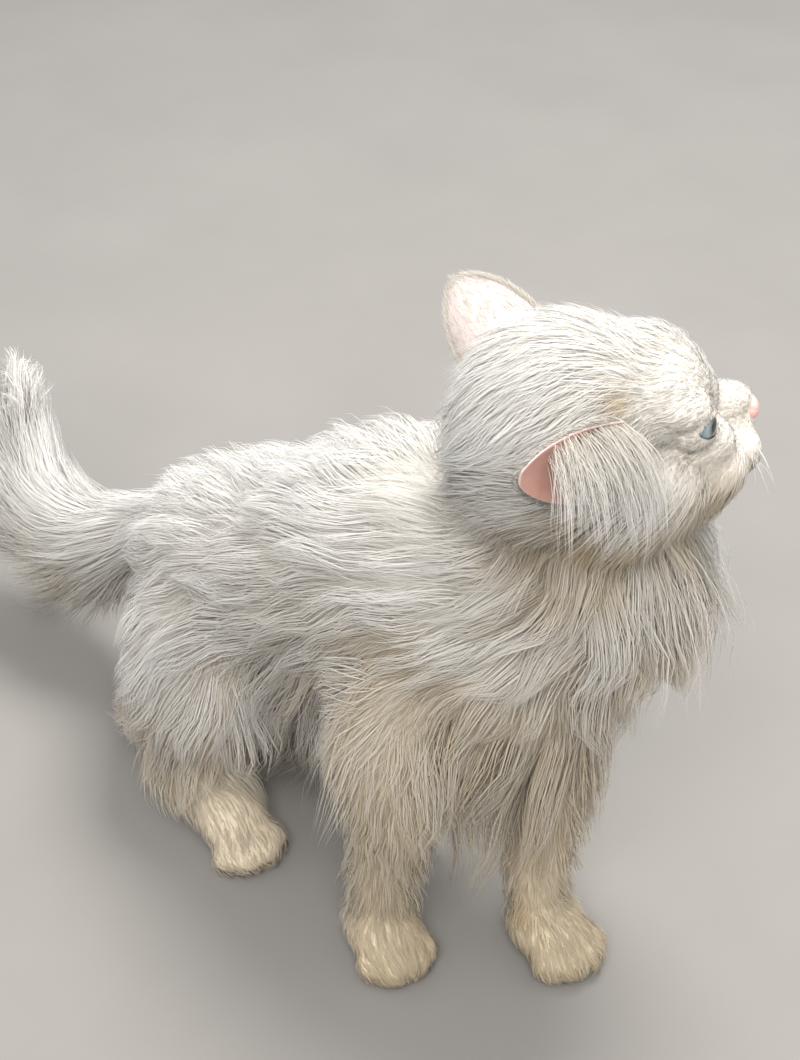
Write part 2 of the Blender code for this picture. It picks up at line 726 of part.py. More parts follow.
def build():
    clear_scene()
    coat = material("coat", (0.87, 0.85, 0.80), 0.75)
    skin = material("ear_skin", (0.80, 0.52, 0.47), 0.55)
    leather = material("nose_leather", (0.78, 0.48, 0.45), 0.45)
    glass = material("eye", (0.36, 0.50, 0.62), 0.08)

    nodes = [eye("eye_right", -1.0), eye("eye_left", 1.0), nose(), head()]
    for name, hand in (("ear_right", -1.0), ("ear_left", 1.0)):
        nodes.append(cut(ear(name, hand), joined("head_cutter", [head_core(GAP)] + head_hair(GAP))))
    head_cutter = joined("head_cutter", [head_core(GAP)] + head_hair(GAP))
    nodes.append(cut(joined("neck", neck_pieces()), head_cutter))
    nodes.append(cut(joined("torso", torso_pieces()), joined("neck_cutter", neck_pieces(GAP))))
    nodes += forelegs() + hind_legs() + tail()
    for node in nodes:
        finish(node, coat, skin, leather, glass)


def forelegs():
    nodes = []
    for side, stations, hand in (("right", FORELEG_RIGHT, 1.0), ("left", FORELEG_LEFT, -1.0)):
        paw_name = "forepaw_" + side
        nodes.append(paw(paw_name))
        leg = foreleg("foreleg_" + side, stations, hand, paw_name)
        torso_cutter = joined("torso_cutter", torso_pieces(GAP))
        neck_cutter = joined("neck_cutter", neck_pieces(GAP))
        nodes.append(cut(leg, torso_cutter, neck_cutter))
    return nodes


def hind_legs():
    nodes = []
    for side, hand in (("right", -1.0), ("left", 1.0)):
        name = "thigh_" + side
        thigh = joined(name, thigh_pieces(name, hand))
        nodes.append(cut(thigh, joined("torso_cutter", torso_pieces(GAP))))
        foot = hind_foot("hind_foot_" + side, hand)
        nodes.append(cut(foot, joined("thigh_cutter", thigh_pieces(name, hand, GAP))))
    return nodes


def tail():
    rows = (0.24, 0.45)
    tip_rows = (TAIL_SPLIT + 0.08, 0.84)
    base = joined("tail_base", tail_pieces("tail_base", 0.0, TAIL_SPLIT, rows))
    tip = joined("tail_tip", tail_pieces("tail_tip", TAIL_SPLIT - 0.02, 1.0, tip_rows))
    cut(tip, joined("base_cutter", tail_pieces("tail_base", 0.0, TAIL_SPLIT, rows, GAP)))
    cut(base, joined("torso_cutter", torso_pieces(GAP)))
    return [base, tip]


def finish(node, coat, skin, leather, glass):
    """Gives a node its material, smooth shading and its place round the origin."""
    chosen = coat
    if node.name.startswith("eye"):
        chosen = glass
    if node.name == "nose":
        chosen = leather
    if node.name.startswith("ear"):
        chosen = skin
    node.data.materials.clear()
    node.data.materials.append(chosen)
    node.data.transform(Matrix.Translation(-OUTLINE_MIDDLE))
    node.data.shade_smooth()
    node.data.set_sharp_from_angle(angle=math.radians(40.0))


build()
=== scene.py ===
"""The finish of a life-size model of a white long-haired cat: skin, coat, eyes, nose and ears.

Metres, +X towards the chest, +Y to the cat's left, +Z up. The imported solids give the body; here
one skin lies inside them, and the long coat grows on it as many thin tufts that follow its lie.
"""

import math

import bmesh
import bpy
import numpy as np
from mathutils import Matrix, Vector
from mathutils.bvhtree import BVHTree
from mathutils.kdtree import KDTree


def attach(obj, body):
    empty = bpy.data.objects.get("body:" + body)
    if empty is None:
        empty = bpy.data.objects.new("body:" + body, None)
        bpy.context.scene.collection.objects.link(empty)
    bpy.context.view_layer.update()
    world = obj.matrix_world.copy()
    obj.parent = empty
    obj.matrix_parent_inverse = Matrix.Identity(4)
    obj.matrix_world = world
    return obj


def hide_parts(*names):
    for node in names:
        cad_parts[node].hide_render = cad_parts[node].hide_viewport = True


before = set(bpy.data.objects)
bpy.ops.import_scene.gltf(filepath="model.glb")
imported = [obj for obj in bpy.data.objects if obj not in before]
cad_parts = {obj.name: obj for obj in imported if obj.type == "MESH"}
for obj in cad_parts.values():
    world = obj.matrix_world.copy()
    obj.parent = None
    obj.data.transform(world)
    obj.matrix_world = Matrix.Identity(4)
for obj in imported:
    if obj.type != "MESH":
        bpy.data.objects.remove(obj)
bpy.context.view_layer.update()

UP = np.array((0.0, 0.0, 1.0))
# The stations are laid out from a point under the mid back; the origin is the middle of the outline.
OUTLINE_MIDDLE = np.array((-0.0775, 0.0059, 0.0))
# The lowest height of the skin and of the hair, just clear of the floor.
SKIN_FLOOR = 0.0004
HAIR_FLOOR = 0.0012

# Stations of each limb: centre x, y, z, then half the width and half the height over the coat.
TORSO = (
    (-0.168, 0.000, 0.130, 0.018, 0.018),
    (-0.152, 0.000, 0.130, 0.040, 0.036),
    (-0.115, 0.000, 0.136, 0.056, 0.054),
    (-0.070, 0.000, 0.150, 0.062, 0.063),
    (-0.020, 0.000, 0.178, 0.063, 0.071),
    (0.030, 0.000, 0.204, 0.062, 0.078),
    (0.070, 0.004, 0.212, 0.059, 0.079),
    (0.105, 0.009, 0.197, 0.054, 0.071),
    (0.132, 0.014, 0.186, 0.040, 0.054),
    (0.148, 0.016, 0.182, 0.018, 0.026),
)
NECK = (
    (0.128, 0.024, 0.330, 0.030, 0.032),
    (0.128, 0.027, 0.314, 0.042, 0.046),
    (0.128, 0.034, 0.290, 0.050, 0.056),
    (0.129, 0.040, 0.262, 0.056, 0.062),
    (0.127, 0.037, 0.236, 0.056, 0.061),
    (0.120, 0.029, 0.214, 0.046, 0.050),
    (0.116, 0.026, 0.205, 0.030, 0.034),
)
FORELEG_RIGHT = (
    (0.070, -0.036, 0.184, 0.024, 0.030),
    (0.078, -0.050, 0.146, 0.031, 0.034),
    (0.085, -0.052, 0.110, 0.026, 0.029),
    (0.081, -0.053, 0.075, 0.022, 0.023),
    (0.077, -0.054, 0.040, 0.020, 0.021),
    (0.078, -0.055, 0.026, 0.017, 0.017),
)
FORELEG_LEFT = (
    (0.098, 0.038, 0.182, 0.024, 0.030),
    (0.106, 0.042, 0.144, 0.031, 0.034),
    (0.120, 0.030, 0.108, 0.026, 0.029),
    (0.125, 0.020, 0.073, 0.022, 0.023),
    (0.130, 0.013, 0.040, 0.020, 0.021),
    (0.132, 0.012, 0.026, 0.017, 0.017),
)
THIGH = (
    (-0.090, -0.026, 0.148, 0.020, 0.028),
    (-0.088, -0.036, 0.132, 0.034, 0.048),
    (-0.083, -0.045, 0.105, 0.038, 0.056),
    (-0.080, -0.051, 0.076, 0.034, 0.050),
    (-0.082, -0.054, 0.051, 0.026, 0.036),
    (-0.084, -0.055, 0.042, 0.014, 0.020),
)
HIND_FOOT = (
    (-0.142, -0.047, 0.036, 0.012, 0.014),
    (-0.134, -0.049, 0.033, 0.018, 0.022),
    (-0.104, -0.054, 0.029, 0.018, 0.020),
    (-0.071, -0.059, 0.023, 0.020, 0.019),
    (-0.038, -0.064, 0.016, 0.023, 0.017),
    (-0.024, -0.066, 0.012, 0.019, 0.011),
)
TAIL = (
    (-0.150, 0.000, 0.130, 0.022, 0.022),
    (-0.178, -0.003, 0.119, 0.026, 0.026),
    (-0.210, -0.010, 0.098, 0.028, 0.028),
    (-0.244, -0.018, 0.086, 0.028, 0.028),
    (-0.274, -0.022, 0.093, 0.027, 0.027),
    (-0.292, -0.022, 0.115, 0.025, 0.025),
    (-0.297, -0.020, 0.140, 0.020, 0.020),
    (-0.297, -0.018, 0.160, 0.009, 0.009),
)
# Middle of each sole, and how far the foot points away from +X, in degrees.
PAWS = {
    "forepaw_right": ((0.082, -0.056, 0.0), -18.0),
    "forepaw_left": ((0.142, 0.011, 0.0), -6.0),
    "hind_foot_right": ((-0.036, -0.065, 0.0), -9.0),
    "hind_foot_left": ((-0.036, 0.065, 0.0), 9.0),
}
# Toes from the middle of the sole: forwards, to the left and up, and the radius over the hair.
TOES = (
    (0.017, -0.0150, 0.0095, 0.0098),
    (0.023, -0.0055, 0.0100, 0.0104),
    (0.023, 0.0055, 0.0100, 0.0104),
    (0.017, 0.0150, 0.0095, 0.0098),
)
TOE_HAIR = 0.0014

# Head frame: origin at the middle of the skull, x forwards, y to the left, z up.
HEAD_AT = (0.136, 0.026, 0.331)
HEAD_YAW = 66.0
HEAD_PITCH = 2.0
EYE_AT = Vector((0.0385, 0.0253, 0.0120))
EYE_RADIUS = 0.0108
EYE_LOOK_OUT = 34.0
EYE_LOOK_UP = 5.0
# The eyes glance a little to the right of where the head points.
GLANCE = 6.0
# The opening between the lids: half its width, how far it reaches up and down, how far it is turned
# outwards, in degrees, how much it rises to its outer corner, and how many corners draw it.
EYE_HALF_WIDE = 0.0092
EYE_RISE = 0.0051
EYE_DROP = 0.0045
EYE_TURN = 13.0
EYE_SLANT = 0.12
EYE_CORNERS = 40
LID_THICK = 0.0023
SOCKET_GAP = 0.0002
# The dark edge of the lids. The clear front of the eye swells by CORNEA of the radius, out to its edge.
RIM_WIDE = 0.0012
CORNEA = 0.07
CORNEA_EDGE = 0.75
# How far from the parting of the lips the skin is coloured, and how far it is bare.
LIP_COLOURED = 0.0018
LIP_BARE = 0.0011
NOSE_AT = Vector((0.0808, 0.0, -0.0035))
# Masses of the head over the short coat: centre, radii, and how thick the coat on them is.
MIDDLE_MASSES = (
    ((-0.009, 0.0, 0.010), (0.052, 0.049, 0.053), 0.008),
    ((0.024, 0.0, 0.019), (0.037, 0.040, 0.031), 0.005),
    ((0.052, 0.0, -0.016), (0.029, 0.026, 0.021), 0.0030),
    ((0.064, 0.0, -0.0375), (0.0145, 0.0190, 0.0105), 0.0014),
    ((0.0435, 0.0, 0.0125), (0.0200, 0.0215, 0.0185), 0.0015),
    ((0.066, 0.0, 0.002), (0.0165, 0.0115, 0.0090), 0.0002),
    ((0.069, 0.0, -0.0105), (0.0150, 0.0125, 0.0120), 0.0002),
)
PAIRED_MASSES = (
    ((0.016, 0.031, -0.015), (0.032, 0.025, 0.026), 0.006),
    ((0.0700, 0.0095, -0.0210), (0.0140, 0.0130, 0.0130), 0.0006),
    ((0.0325, 0.0245, 0.0225), (0.0170, 0.0175, 0.0110), 0.0022),
    ((0.0470, 0.0190, -0.0035), (0.0170, 0.0170, 0.0135), 0.0010),
    ((0.0420, 0.0165, -0.0310), (0.0270, 0.0190, 0.0155), 0.0030),
    ((0.0480, 0.0215, -0.0190), (0.0250, 0.0185, 0.0180), 0.0030),
)
# Root of each ear at its front and rear edge, and its tip. The right ear is laid back to the side.
EAR_WALL = 0.0017
EARS = {
    "ear_right": ((-0.006, -0.044, 0.036), (-0.032, -0.056, 0.006), (-0.063, -0.066, 0.037)),
    "ear_left": ((-0.008, 0.044, 0.041), (-0.044, 0.050, 0.020), (-0.038, 0.076, 0.049)),
}


def mirrored(stations):
    return tuple((x, -y, z, wide, high) for x, y, z, wide, high in stations)


def on_side(point, hand):
    """A place given for the left half of the head, for the right one when hand is -1."""
    return (point[0], hand * point[1], point[2])


def unit(vectors):
    return vectors / np.maximum(np.linalg.norm(vectors, axis=-1, keepdims=True), 1e-9)


def dots(a, b):
    return np.sum(a * b, axis=-1, keepdims=True)


def table(at, *pairs):
    """A value that changes evenly between named places."""
    return np.interp(at, [place for place, _ in pairs], [value for _, value in pairs])


# Body and skin

class Limb:
    """A smooth round form through stations, s from 0 at the first to 1 at the last."""

    def __init__(self, stations, coat, least=0.004, axis=None):
        self.rows = np.array(stations)
        self.rows[:, :3] -= OUTLINE_MIDDLE
        self.rows[:, 3:] = np.maximum(self.rows[:, 3:] - coat, least)
        self.axis = axis

    def values(self, s):
        last = len(self.rows) - 1
        place = np.clip(s, 0.0, 1.0) * last
        i = np.minimum(place.astype(int), last - 1)
        t = (place - i)[..., None]
        a, b, c, d = (self.rows[np.clip(i + k, 0, last)] for k in (-1, 0, 1, 2))
        return 0.5 * (2.0 * b + (c - a) * t + (2.0 * a - 5.0 * b + 4.0 * c - d) * t**2
                      + (3.0 * b - a - 3.0 * c + d) * t**3)

    def along(self, s):
        if self.axis is not None:
            return np.broadcast_to(self.axis, np.shape(s) + (3,))
        return unit(self.values(s + 0.02)[..., :3] - self.values(s - 0.02)[..., :3])

    def frames(self, s):
        """Centres, the way along, the side, the top, and the half width and height there."""
        values = self.values(s)
        along = self.along(s)
        side = np.broadcast_to(np.array((0.0, -1.0, 0.0)), along.shape)
        side = unit(side - along * dots(side, along))
        return values[..., :3], along, side, np.cross(side, along), values[..., 3:4], values[..., 4:5]

    def add_to(self, form, rings, sides):
        s = np.linspace(0.0, 1.0, rings)
        centre, _, side, top, wide, high = self.frames(s)
        loops = []
        for i in range(rings):
            ring = []
            for k in range(sides):
                angle = math.tau * k / sides
                at = centre[i] + side[i] * wide[i] * math.sin(angle) + top[i] * high[i] * math.cos(angle)
                ring.append(form.verts.new(at))
            loops.append(ring)
        join_rings(form, loops)


def head_matrix():
    turn = Matrix.Rotation(math.radians(HEAD_YAW), 4, "Z")
    nod = Matrix.Rotation(math.radians(-HEAD_PITCH), 4, "Y")
    return Matrix.Translation(Vector(HEAD_AT) - Vector(OUTLINE_MIDDLE)) @ turn @ nod


HEAD = head_matrix()
HEAD_BASIS = np.array(HEAD.to_3x3())
HEAD_ORIGIN = np.array(HEAD.translation)


def paw_matrix(name):
    at, turn = PAWS[name]
    place = Matrix.Translation(Vector(at) - Vector(OUTLINE_MIDDLE))
    return place @ Matrix.Rotation(math.radians(turn), 4, "Z")


def join_rings(form, rings):
    """Walls between the rings, each with the next, and a cap on the first and the last."""
    for lower, upper in zip(rings, rings[1:]):
        for k in range(len(lower)):
            form.faces.new((lower[k - 1], lower[k], upper[k], upper[k - 1]))
    form.faces.new(rings[0])
    form.faces.new(rings[-1])


def add_mass(form, matrix, centre, radii, level=4):
    shape = matrix @ Matrix.Translation(centre) @ Matrix.Diagonal((*radii, 1.0))
    bmesh.ops.create_icosphere(form, subdivisions=level, radius=1.0, matrix=shape)


def new_object(name, form=None, mesh=None):
    if form:
        mesh = bpy.data.meshes.new(name)
        bmesh.ops.recalc_face_normals(form, faces=form.faces)
        form.to_mesh(mesh)
        form.free()
    made = bpy.data.objects.new(name, mesh)
    bpy.context.scene.collection.objects.link(made)
    return made


def vectors_of(mesh, name):
    """The places or the normals of a mesh, a row for each vertex."""
    values = np.empty(len(mesh.vertices) * 3)
    mesh.vertices.foreach_get(name, values)
    return values.reshape(-1, 3)


def keep_numbers(mesh, label, values):
    """Keeps a number for each vertex on the mesh, for its finish."""
    field = mesh.attributes.new(label, "FLOAT", "POINT")
    field.data.foreach_set("value", np.ravel(values).astype(np.float32))


def keep_vectors(mesh, label, vectors):
    """Keeps a vector for each vertex on the mesh."""
    field = mesh.attributes.new(label, "FLOAT_VECTOR", "POINT")
    field.data.foreach_set("vector", np.ravel(vectors).astype(np.float32))


def apply_modifiers(body):
    graph = bpy.context.evaluated_depsgraph_get()
    mesh = bpy.data.meshes.new_from_object(body.evaluated_get(graph), depsgraph=graph)
    old = body.data
    body.modifiers.clear()
    body.data = mesh
    bpy.data.meshes.remove(old)


def remeshed(body, voxel, smoothing, factor=0.5):
    remesh = body.modifiers.new("one_surface", "REMESH")
    remesh.mode = "VOXEL"
    remesh.voxel_size = voxel
    smooth = body.modifiers.new("soften", "SMOOTH")
    smooth.factor = factor
    smooth.iterations = smoothing
    apply_modifiers(body)


def combined(body, others, operation):
    """The body joined with the others, or cut by them, which are then removed."""
    for other in others:
        step = body.modifiers.new("combine", "BOOLEAN")
        step.operation = operation
        step.solver = "MANIFOLD"
        step.object = other
    apply_modifiers(body)
    for other in others:
        bpy.data.objects.remove(other)


# Each limb's stations, and how much of its half width is coat. The skin lies inside the coat.
LIMBS = {
    "torso": Limb(TORSO, 0.009, axis=np.array((1.0, 0.0, 0.0))),
    "neck": Limb(NECK, 0.015),
    "foreleg_right": Limb(FORELEG_RIGHT, 0.006),
    "foreleg_left": Limb(FORELEG_LEFT, 0.006),
    "thigh_right": Limb(THIGH, 0.008),
    "thigh_left": Limb(mirrored(THIGH), 0.008),
    "hind_foot_right": Limb(HIND_FOOT, 0.003),
    "hind_foot_left": Limb(mirrored(HIND_FOOT), 0.003),
    "tail": Limb(TAIL, 0.011, least=0.007),
}


def body_skin():
    form = bmesh.new()
    for limb in LIMBS.values():
        limb.add_to(form, rings=28, sides=32)
    for name in PAWS:
        matrix = paw_matrix(name)
        if "fore" in name:
            add_mass(form, matrix, (0.0, 0.0, 0.0145), (0.0250, 0.0205, 0.0150))
        for forward, side, up, radius in TOES:
            thin = radius - TOE_HAIR
            add_mass(form, matrix, (forward, side, up), (thin * 1.15, thin, thin))
    made = new_object("skin", form)
    remeshed(made, voxel=0.0028, smoothing=10)
    for vert in made.data.vertices:
        vert.co.z = max(vert.co.z, SKIN_FLOOR)
    return made


def eye_matrix(hand):
    look = Matrix.Rotation(math.radians(hand * EYE_LOOK_OUT), 4, "Z")
    rise = Matrix.Rotation(math.radians(-EYE_LOOK_UP), 4, "Y")
    return HEAD @ Matrix.Translation(on_side(EYE_AT, hand)) @ look @ rise


def lid_opening(hand):
    """A cutter shaped like the opening between the lids, along the way the eye looks."""
    form = bmesh.new()
    turned = eye_matrix(hand) @ Matrix.Rotation(math.radians(hand * EYE_TURN), 4, "Z")
    loops = []
    for x in (0.1, 2.2):
        ring = []
        for k in range(EYE_CORNERS):
            angle = math.tau * k / EYE_CORNERS
            y = EYE_HALF_WIDE * math.cos(angle)
            height = EYE_RISE if math.sin(angle) > 0.0 else EYE_DROP
            z = height * abs(math.sin(angle)) ** 1.2 * math.copysign(1.0, math.sin(angle))
            ring.append(form.verts.new(turned @ Vector((x * EYE_RADIUS, y, z + EYE_SLANT * hand * y))))
        loops.append(ring)
    join_rings(form, loops)
    return new_object("opening", form)


def mouth_line(hand, part):
    """A point of the parting of the lips in the head frame, part from 0 in front to 1 behind."""
    angle = math.radians(-3.0 + 62.0 * part)
    dip = 0.0085 * math.sin(math.pi * min(part / 0.85, 1.0))
    out = Vector((math.cos(angle), hand * math.sin(angle), 0.0))
    return Vector((0.0525 + 0.0305 * out.x, 0.0258 * out.y, -0.0255 - dip)), out


def mouth_blades():
    """Thin cutters for the parting of the upper lip and for the line between the lips."""
    blades = []
    form = bmesh.new()
    size = Matrix.Diagonal((0.010, 0.0011, 0.0125, 1.0))
    bmesh.ops.create_cube(form, size=1.0, matrix=HEAD @ Matrix.Translation((0.0862, 0.0, -0.0160)) @ size)
    blades.append(new_object("parting", form))
    for hand in (-1.0, 1.0):
        form = bmesh.new()
        loops = []
        for i in range(19):
            middle, out = mouth_line(hand, i / 18)
            ring = []
            for reach, half in ((0.006, 0.0010), (-0.0035, 0.0006), (-0.0035, -0.0006), (0.006, -0.0010)):
                ring.append(form.verts.new(HEAD @ (middle + out * reach + Vector((0.0, 0.0, half)))))
            loops.append(ring)
        join_rings(form, loops)
        blades.append(new_object("lip_line", form))
    return blades


def head_skin():
    form = bmesh.new()
    for centre, radii, coat in MIDDLE_MASSES:
        add_mass(form, HEAD, centre, [radius - coat for radius in radii])
    for centre, radii, coat in PAIRED_MASSES:
        for hand in (-1.0, 1.0):
            add_mass(form, HEAD, on_side(centre, hand), [radius - coat for radius in radii])
    made = new_object("head_skin", form)
    remeshed(made, voxel=0.0011, smoothing=36, factor=0.6)
    form = bmesh.new()
    for hand in (-1.0, 1.0):
        add_mass(form, eye_matrix(hand), (-0.0006, 0.0, 0.0), (EYE_RADIUS + LID_THICK,) * 3)
    combined(made, [new_object("lids", form)], "UNION")
    remeshed(made, voxel=0.0009, smoothing=7)
    combined(made, [lid_opening(hand) for hand in (-1.0, 1.0)], "DIFFERENCE")
    remeshed(made, voxel=0.0009, smoothing=3)
    fewer = made.modifiers.new("fewer", "DECIMATE")
    fewer.ratio = 0.45
    apply_modifiers(made)
    sockets = []
    for hand in (-1.0, 1.0):
        form = bmesh.new()
        add_mass(form, eye_matrix(hand), (0.0, 0.0, 0.0), (EYE_RADIUS + SOCKET_GAP,) * 3)
        sockets.append(new_object("socket", form))
    combined(made, mouth_blades() + sockets, "DIFFERENCE")
    return made


def make_skin():
    skin = body_skin()
    combined(skin, [head_skin()], "UNION")
    skin.name = "skin"
    points = vectors_of(skin.data, "co")
    normals = vectors_of(skin.data, "normal")
    # Stains and painted shade on the skin, the same as on the coat.
    keep_numbers(skin.data, "stain", stain(points))
    keep_numbers(skin.data, "hollow", hollow(points, normals))
    keep_numbers(skin.data, "rim", rim(points))
    keep_numbers(skin.data, "lips", lip_edge(points, LIP_COLOURED))
    return skin


def rim(points):
    """How near each point is to the bare edge of an eyelid."""
    near = np.zeros(len(points))
    for hand in (-1.0, 1.0):
        middle = np.array(eye_matrix(hand).translation)
        gap = np.linalg.norm(points - middle, axis=1) - EYE_RADIUS
        near = np.maximum(near, np.clip(1.8 - gap / RIM_WIDE, 0.0, 1.0))
    return near


def lip_edge(points, reach):
    """How near each point is to the parting of the lips, from 1 on it to 0 this far away."""
    line = [mouth_line(hand, part)[0] for hand in (-1.0, 1.0) for part in np.linspace(0.0, 0.94, 24)]
    line += [Vector((0.083, 0.0, height)) for height in np.linspace(-0.026, -0.0105, 8)]
    local = to_head(points)
    gap = np.full(len(points), 1.0)
    near = np.linalg.norm(local - np.array((0.07, 0.0, -0.025)), axis=1) < 0.045
    for place in line:
        aside = (local[near] - np.array(place)) * (0.45, 1.0, 1.0)
        gap[near] = np.minimum(gap[near], np.linalg.norm(aside, axis=1))
    return np.clip(1.3 - gap / reach, 0.0, 1.0)


# Coat

# Points along a part at which its reach is measured.
PART_SAMPLES = np.linspace(0.0, 1.0, 49)


class Parts:
    """Says which part of the body a point belongs to, and where on it the point lies."""

    def __init__(self):
        self.names = list(LIMBS) + ["forepaw_right", "forepaw_left", "head"]
        self.middles = {}
        for name, limb in LIMBS.items():
            centre, _, side, top, wide, high = limb.frames(PART_SAMPLES)
            self.middles[name] = (centre, side, top, (wide + high)[:, 0] / 2.0)

    def limb_reach(self, name, points):
        centre, side, top, radius = self.middles[name]
        gaps = np.linalg.norm(points[:, None, :] - centre[None], axis=2) / radius[None]
        nearest = np.argmin(gaps, axis=1)
        arm = points - centre[nearest]
        turn = np.arctan2(np.sum(arm * side[nearest], 1), np.sum(arm * top[nearest], 1))
        return gaps[np.arange(len(points)), nearest], PART_SAMPLES[nearest], turn

    def paw_reach(self, name, points):
        matrix = paw_matrix(name)
        local = (points - np.array(matrix.translation)) @ np.array(matrix.to_3x3())
        offset = (local - np.array((0.008, 0.0, 0.012))) / np.array((0.032, 0.024, 0.019))
        turn = np.arctan2(local[:, 1], local[:, 0])
        return np.linalg.norm(offset, axis=1), np.clip(local[:, 2] / 0.03, 0.0, 1.0), turn

    def head_reach(self, points):
        local = to_head(points)
        best = np.full(len(points), np.inf)
        for centre, radii, coat in MIDDLE_MASSES:
            gap = np.linalg.norm((local - np.array(centre)) / (np.array(radii) - coat), axis=1)
            best = np.minimum(best, gap)
        for centre, radii, coat in PAIRED_MASSES:
            for hand in (-1.0, 1.0):
                place = np.array(on_side(centre, hand))
                best = np.minimum(best, np.linalg.norm((local - place) / (np.array(radii) - coat), axis=1))
        level = np.linalg.norm(local, axis=1)
        return best, np.arcsin(local[:, 2] / level) / math.pi + 0.5, np.arctan2(local[:, 1], local[:, 0])

    def find(self, points):
        """For each part its reach, s and turn at each point, the reach being 1 on its surface."""
        found = {}
        for name in self.names:
            if name in LIMBS:
                found[name] = self.limb_reach(name, points)
            elif name == "head":
                found[name] = self.head_reach(points)
            else:
                found[name] = self.paw_reach(name, points)
        return found


def to_head(points):
    return (points - HEAD_ORIGIN) @ HEAD_BASIS


def from_head(vectors):
    return vectors @ HEAD_BASIS.T


def ripple(points, scale, seed):
    """A smooth value from -1 to 1 that wanders over a distance of about scale."""
    draw = np.random.default_rng(seed)
    total = np.zeros(len(points))
    for _ in range(5):
        way = unit(draw.normal(size=3)) * math.tau / scale * draw.uniform(0.6, 1.3)
        total += np.sin(points @ way + draw.uniform(0.0, math.tau))
    return total / 3.2


# Width of a tuft on the body, on legs and feet, on the back of an ear and in its cup, and of a whisker.
BODY_HAIR = 0.00044
FOOT_HAIR = 0.00042
EAR_HAIR = 0.00032
CUP_HAIR = 0.00033
WHISKER = 0.00019


# The coat of each part, from the place on it: the length of the hair, its depth over the skin, the
# width of a tuft, how freely it hangs, and which way it lies.
def torso_coat(points, normals, s, turn):
    under = np.clip(-np.cos(turn), 0.0, 1.0)
    length = table(s, (0.0, 0.038), (0.2, 0.044), (0.5, 0.050), (0.8, 0.056), (1.0, 0.056))
    belly = table(s, (0.0, 0.2), (0.3, 1.2), (0.7, 1.5), (0.9, 0.6), (1.0, 0.2))
    length = length * (1.0 + belly * under**0.5)
    over = np.clip(np.cos(turn), 0.0, 1.0)
    depth = table(s, (0.0, 0.010), (0.3, 0.017), (0.75, 0.020), (1.0, 0.022))
    depth = depth + over * table(s, (0.0, 0.0), (0.3, 0.009), (0.7, 0.010), (0.85, 0.004), (1.0, 0.0))
    way = np.array((-1.0, 0.0, 0.0)) - UP * (0.50 + 1.2 * under)[:, None]
    way[:, 0] += 0.6 * table(s, (0.0, 0.0), (0.75, 0.0), (0.95, 1.0)) + 0.65 * under
    return length, depth, BODY_HAIR, np.clip(under * 1.5, 0.0, 0.95), way


def neck_coat(points, normals, s, turn):
    front = np.clip(np.cos(turn), 0.0, 1.0)
    length = table(s, (0.0, 0.044), (0.4, 0.062), (1.0, 0.060)) * (1.0 + 0.15 * front)
    depth = table(s, (0.0, 0.018), (0.4, 0.031), (1.0, 0.034)) * (1.0 + 0.35 * front)
    outward = normals * np.array((1.0, 1.0, 0.0))
    way = -UP * 1.0 + outward * 0.36
    return length, depth, BODY_HAIR, np.full(len(points), 0.45), way


def leg_coat(points, normals, s, turn):
    behind = np.clip(-np.cos(turn), 0.0, 1.0)
    length = table(s, (0.0, 0.036), (0.35, 0.026), (0.6, 0.020), (0.85, 0.017), (1.0, 0.014))
    length = length * (1.0 + 0.5 * behind)
    before = np.clip(np.cos(turn), 0.0, 1.0)
    depth = table(s, (0.0, 0.014), (0.4, 0.012), (0.7, 0.011), (1.0, 0.009))
    depth = depth * (1.0 + 0.3 * before - 0.1 * behind)
    way = -UP * 1.0 + np.array((-0.35, 0.0, 0.0)) * behind[:, None]
    return length, depth, FOOT_HAIR, np.full(len(points), 0.3), way


def thigh_coat(points, normals, s, turn):
    length = table(s, (0.0, 0.046), (0.4, 0.058), (0.8, 0.066), (1.0, 0.050))
    depth = table(s, (0.0, 0.015), (0.6, 0.016), (1.0, 0.012))
    way = -UP * 1.0 + np.array((-0.45, 0.0, 0.0))
    return length, depth, BODY_HAIR, np.full(len(points), 0.5), np.broadcast_to(way, points.shape).copy()


def foot_coat(points, normals, s, turn):
    length = table(s, (0.0, 0.042), (0.35, 0.028), (0.7, 0.015), (1.0, 0.010))
    depth = table(s, (0.0, 0.014), (0.4, 0.007), (1.0, 0.003))
    way = np.where((s < 0.35)[:, None], np.array((-0.8, 0.0, -0.6)), np.array((0.9, 0.0, -0.45)))
    return length, depth, FOOT_HAIR, np.full(len(points), 0.1), way


def paw_coat(name):
    ahead = np.array(paw_matrix(name).to_3x3() @ Vector((1.0, 0.0, -0.45)))

    def coat(points, normals, s, turn):
        ahead_of = np.clip(np.cos(turn), 0.0, 1.0)
        length = 0.0100 + 0.0080 * ahead_of
        depth = np.full(len(points), 0.0028)
        way = ahead + normals * np.array((0.5, 0.5, 0.0))
        return length, depth, FOOT_HAIR, np.full(len(points), 0.1), way

    return coat


def tail_coat(points, normals, s, turn):
    under = np.clip(-normals[:, 2], 0.0, 1.0)
    length = table(s, (0.0, 0.050), (0.3, 0.064), (0.8, 0.066), (1.0, 0.044)) * (1.0 + 0.45 * under)
    depth = table(s, (0.0, 0.020), (0.3, 0.025), (0.8, 0.026), (1.0, 0.016))
    spread = table(s, (0.0, 0.24), (0.6, 0.34), (0.85, 0.18), (1.0, -0.22))[:, None]
    droop = 0.12 + 0.95 * under * table(s, (0.5, 1.0), (0.8, 0.25))
    way = LIMBS["tail"].along(s) + normals * spread - UP * droop[:, None]
    return length, depth, BODY_HAIR, np.full(len(points), 0.62), way


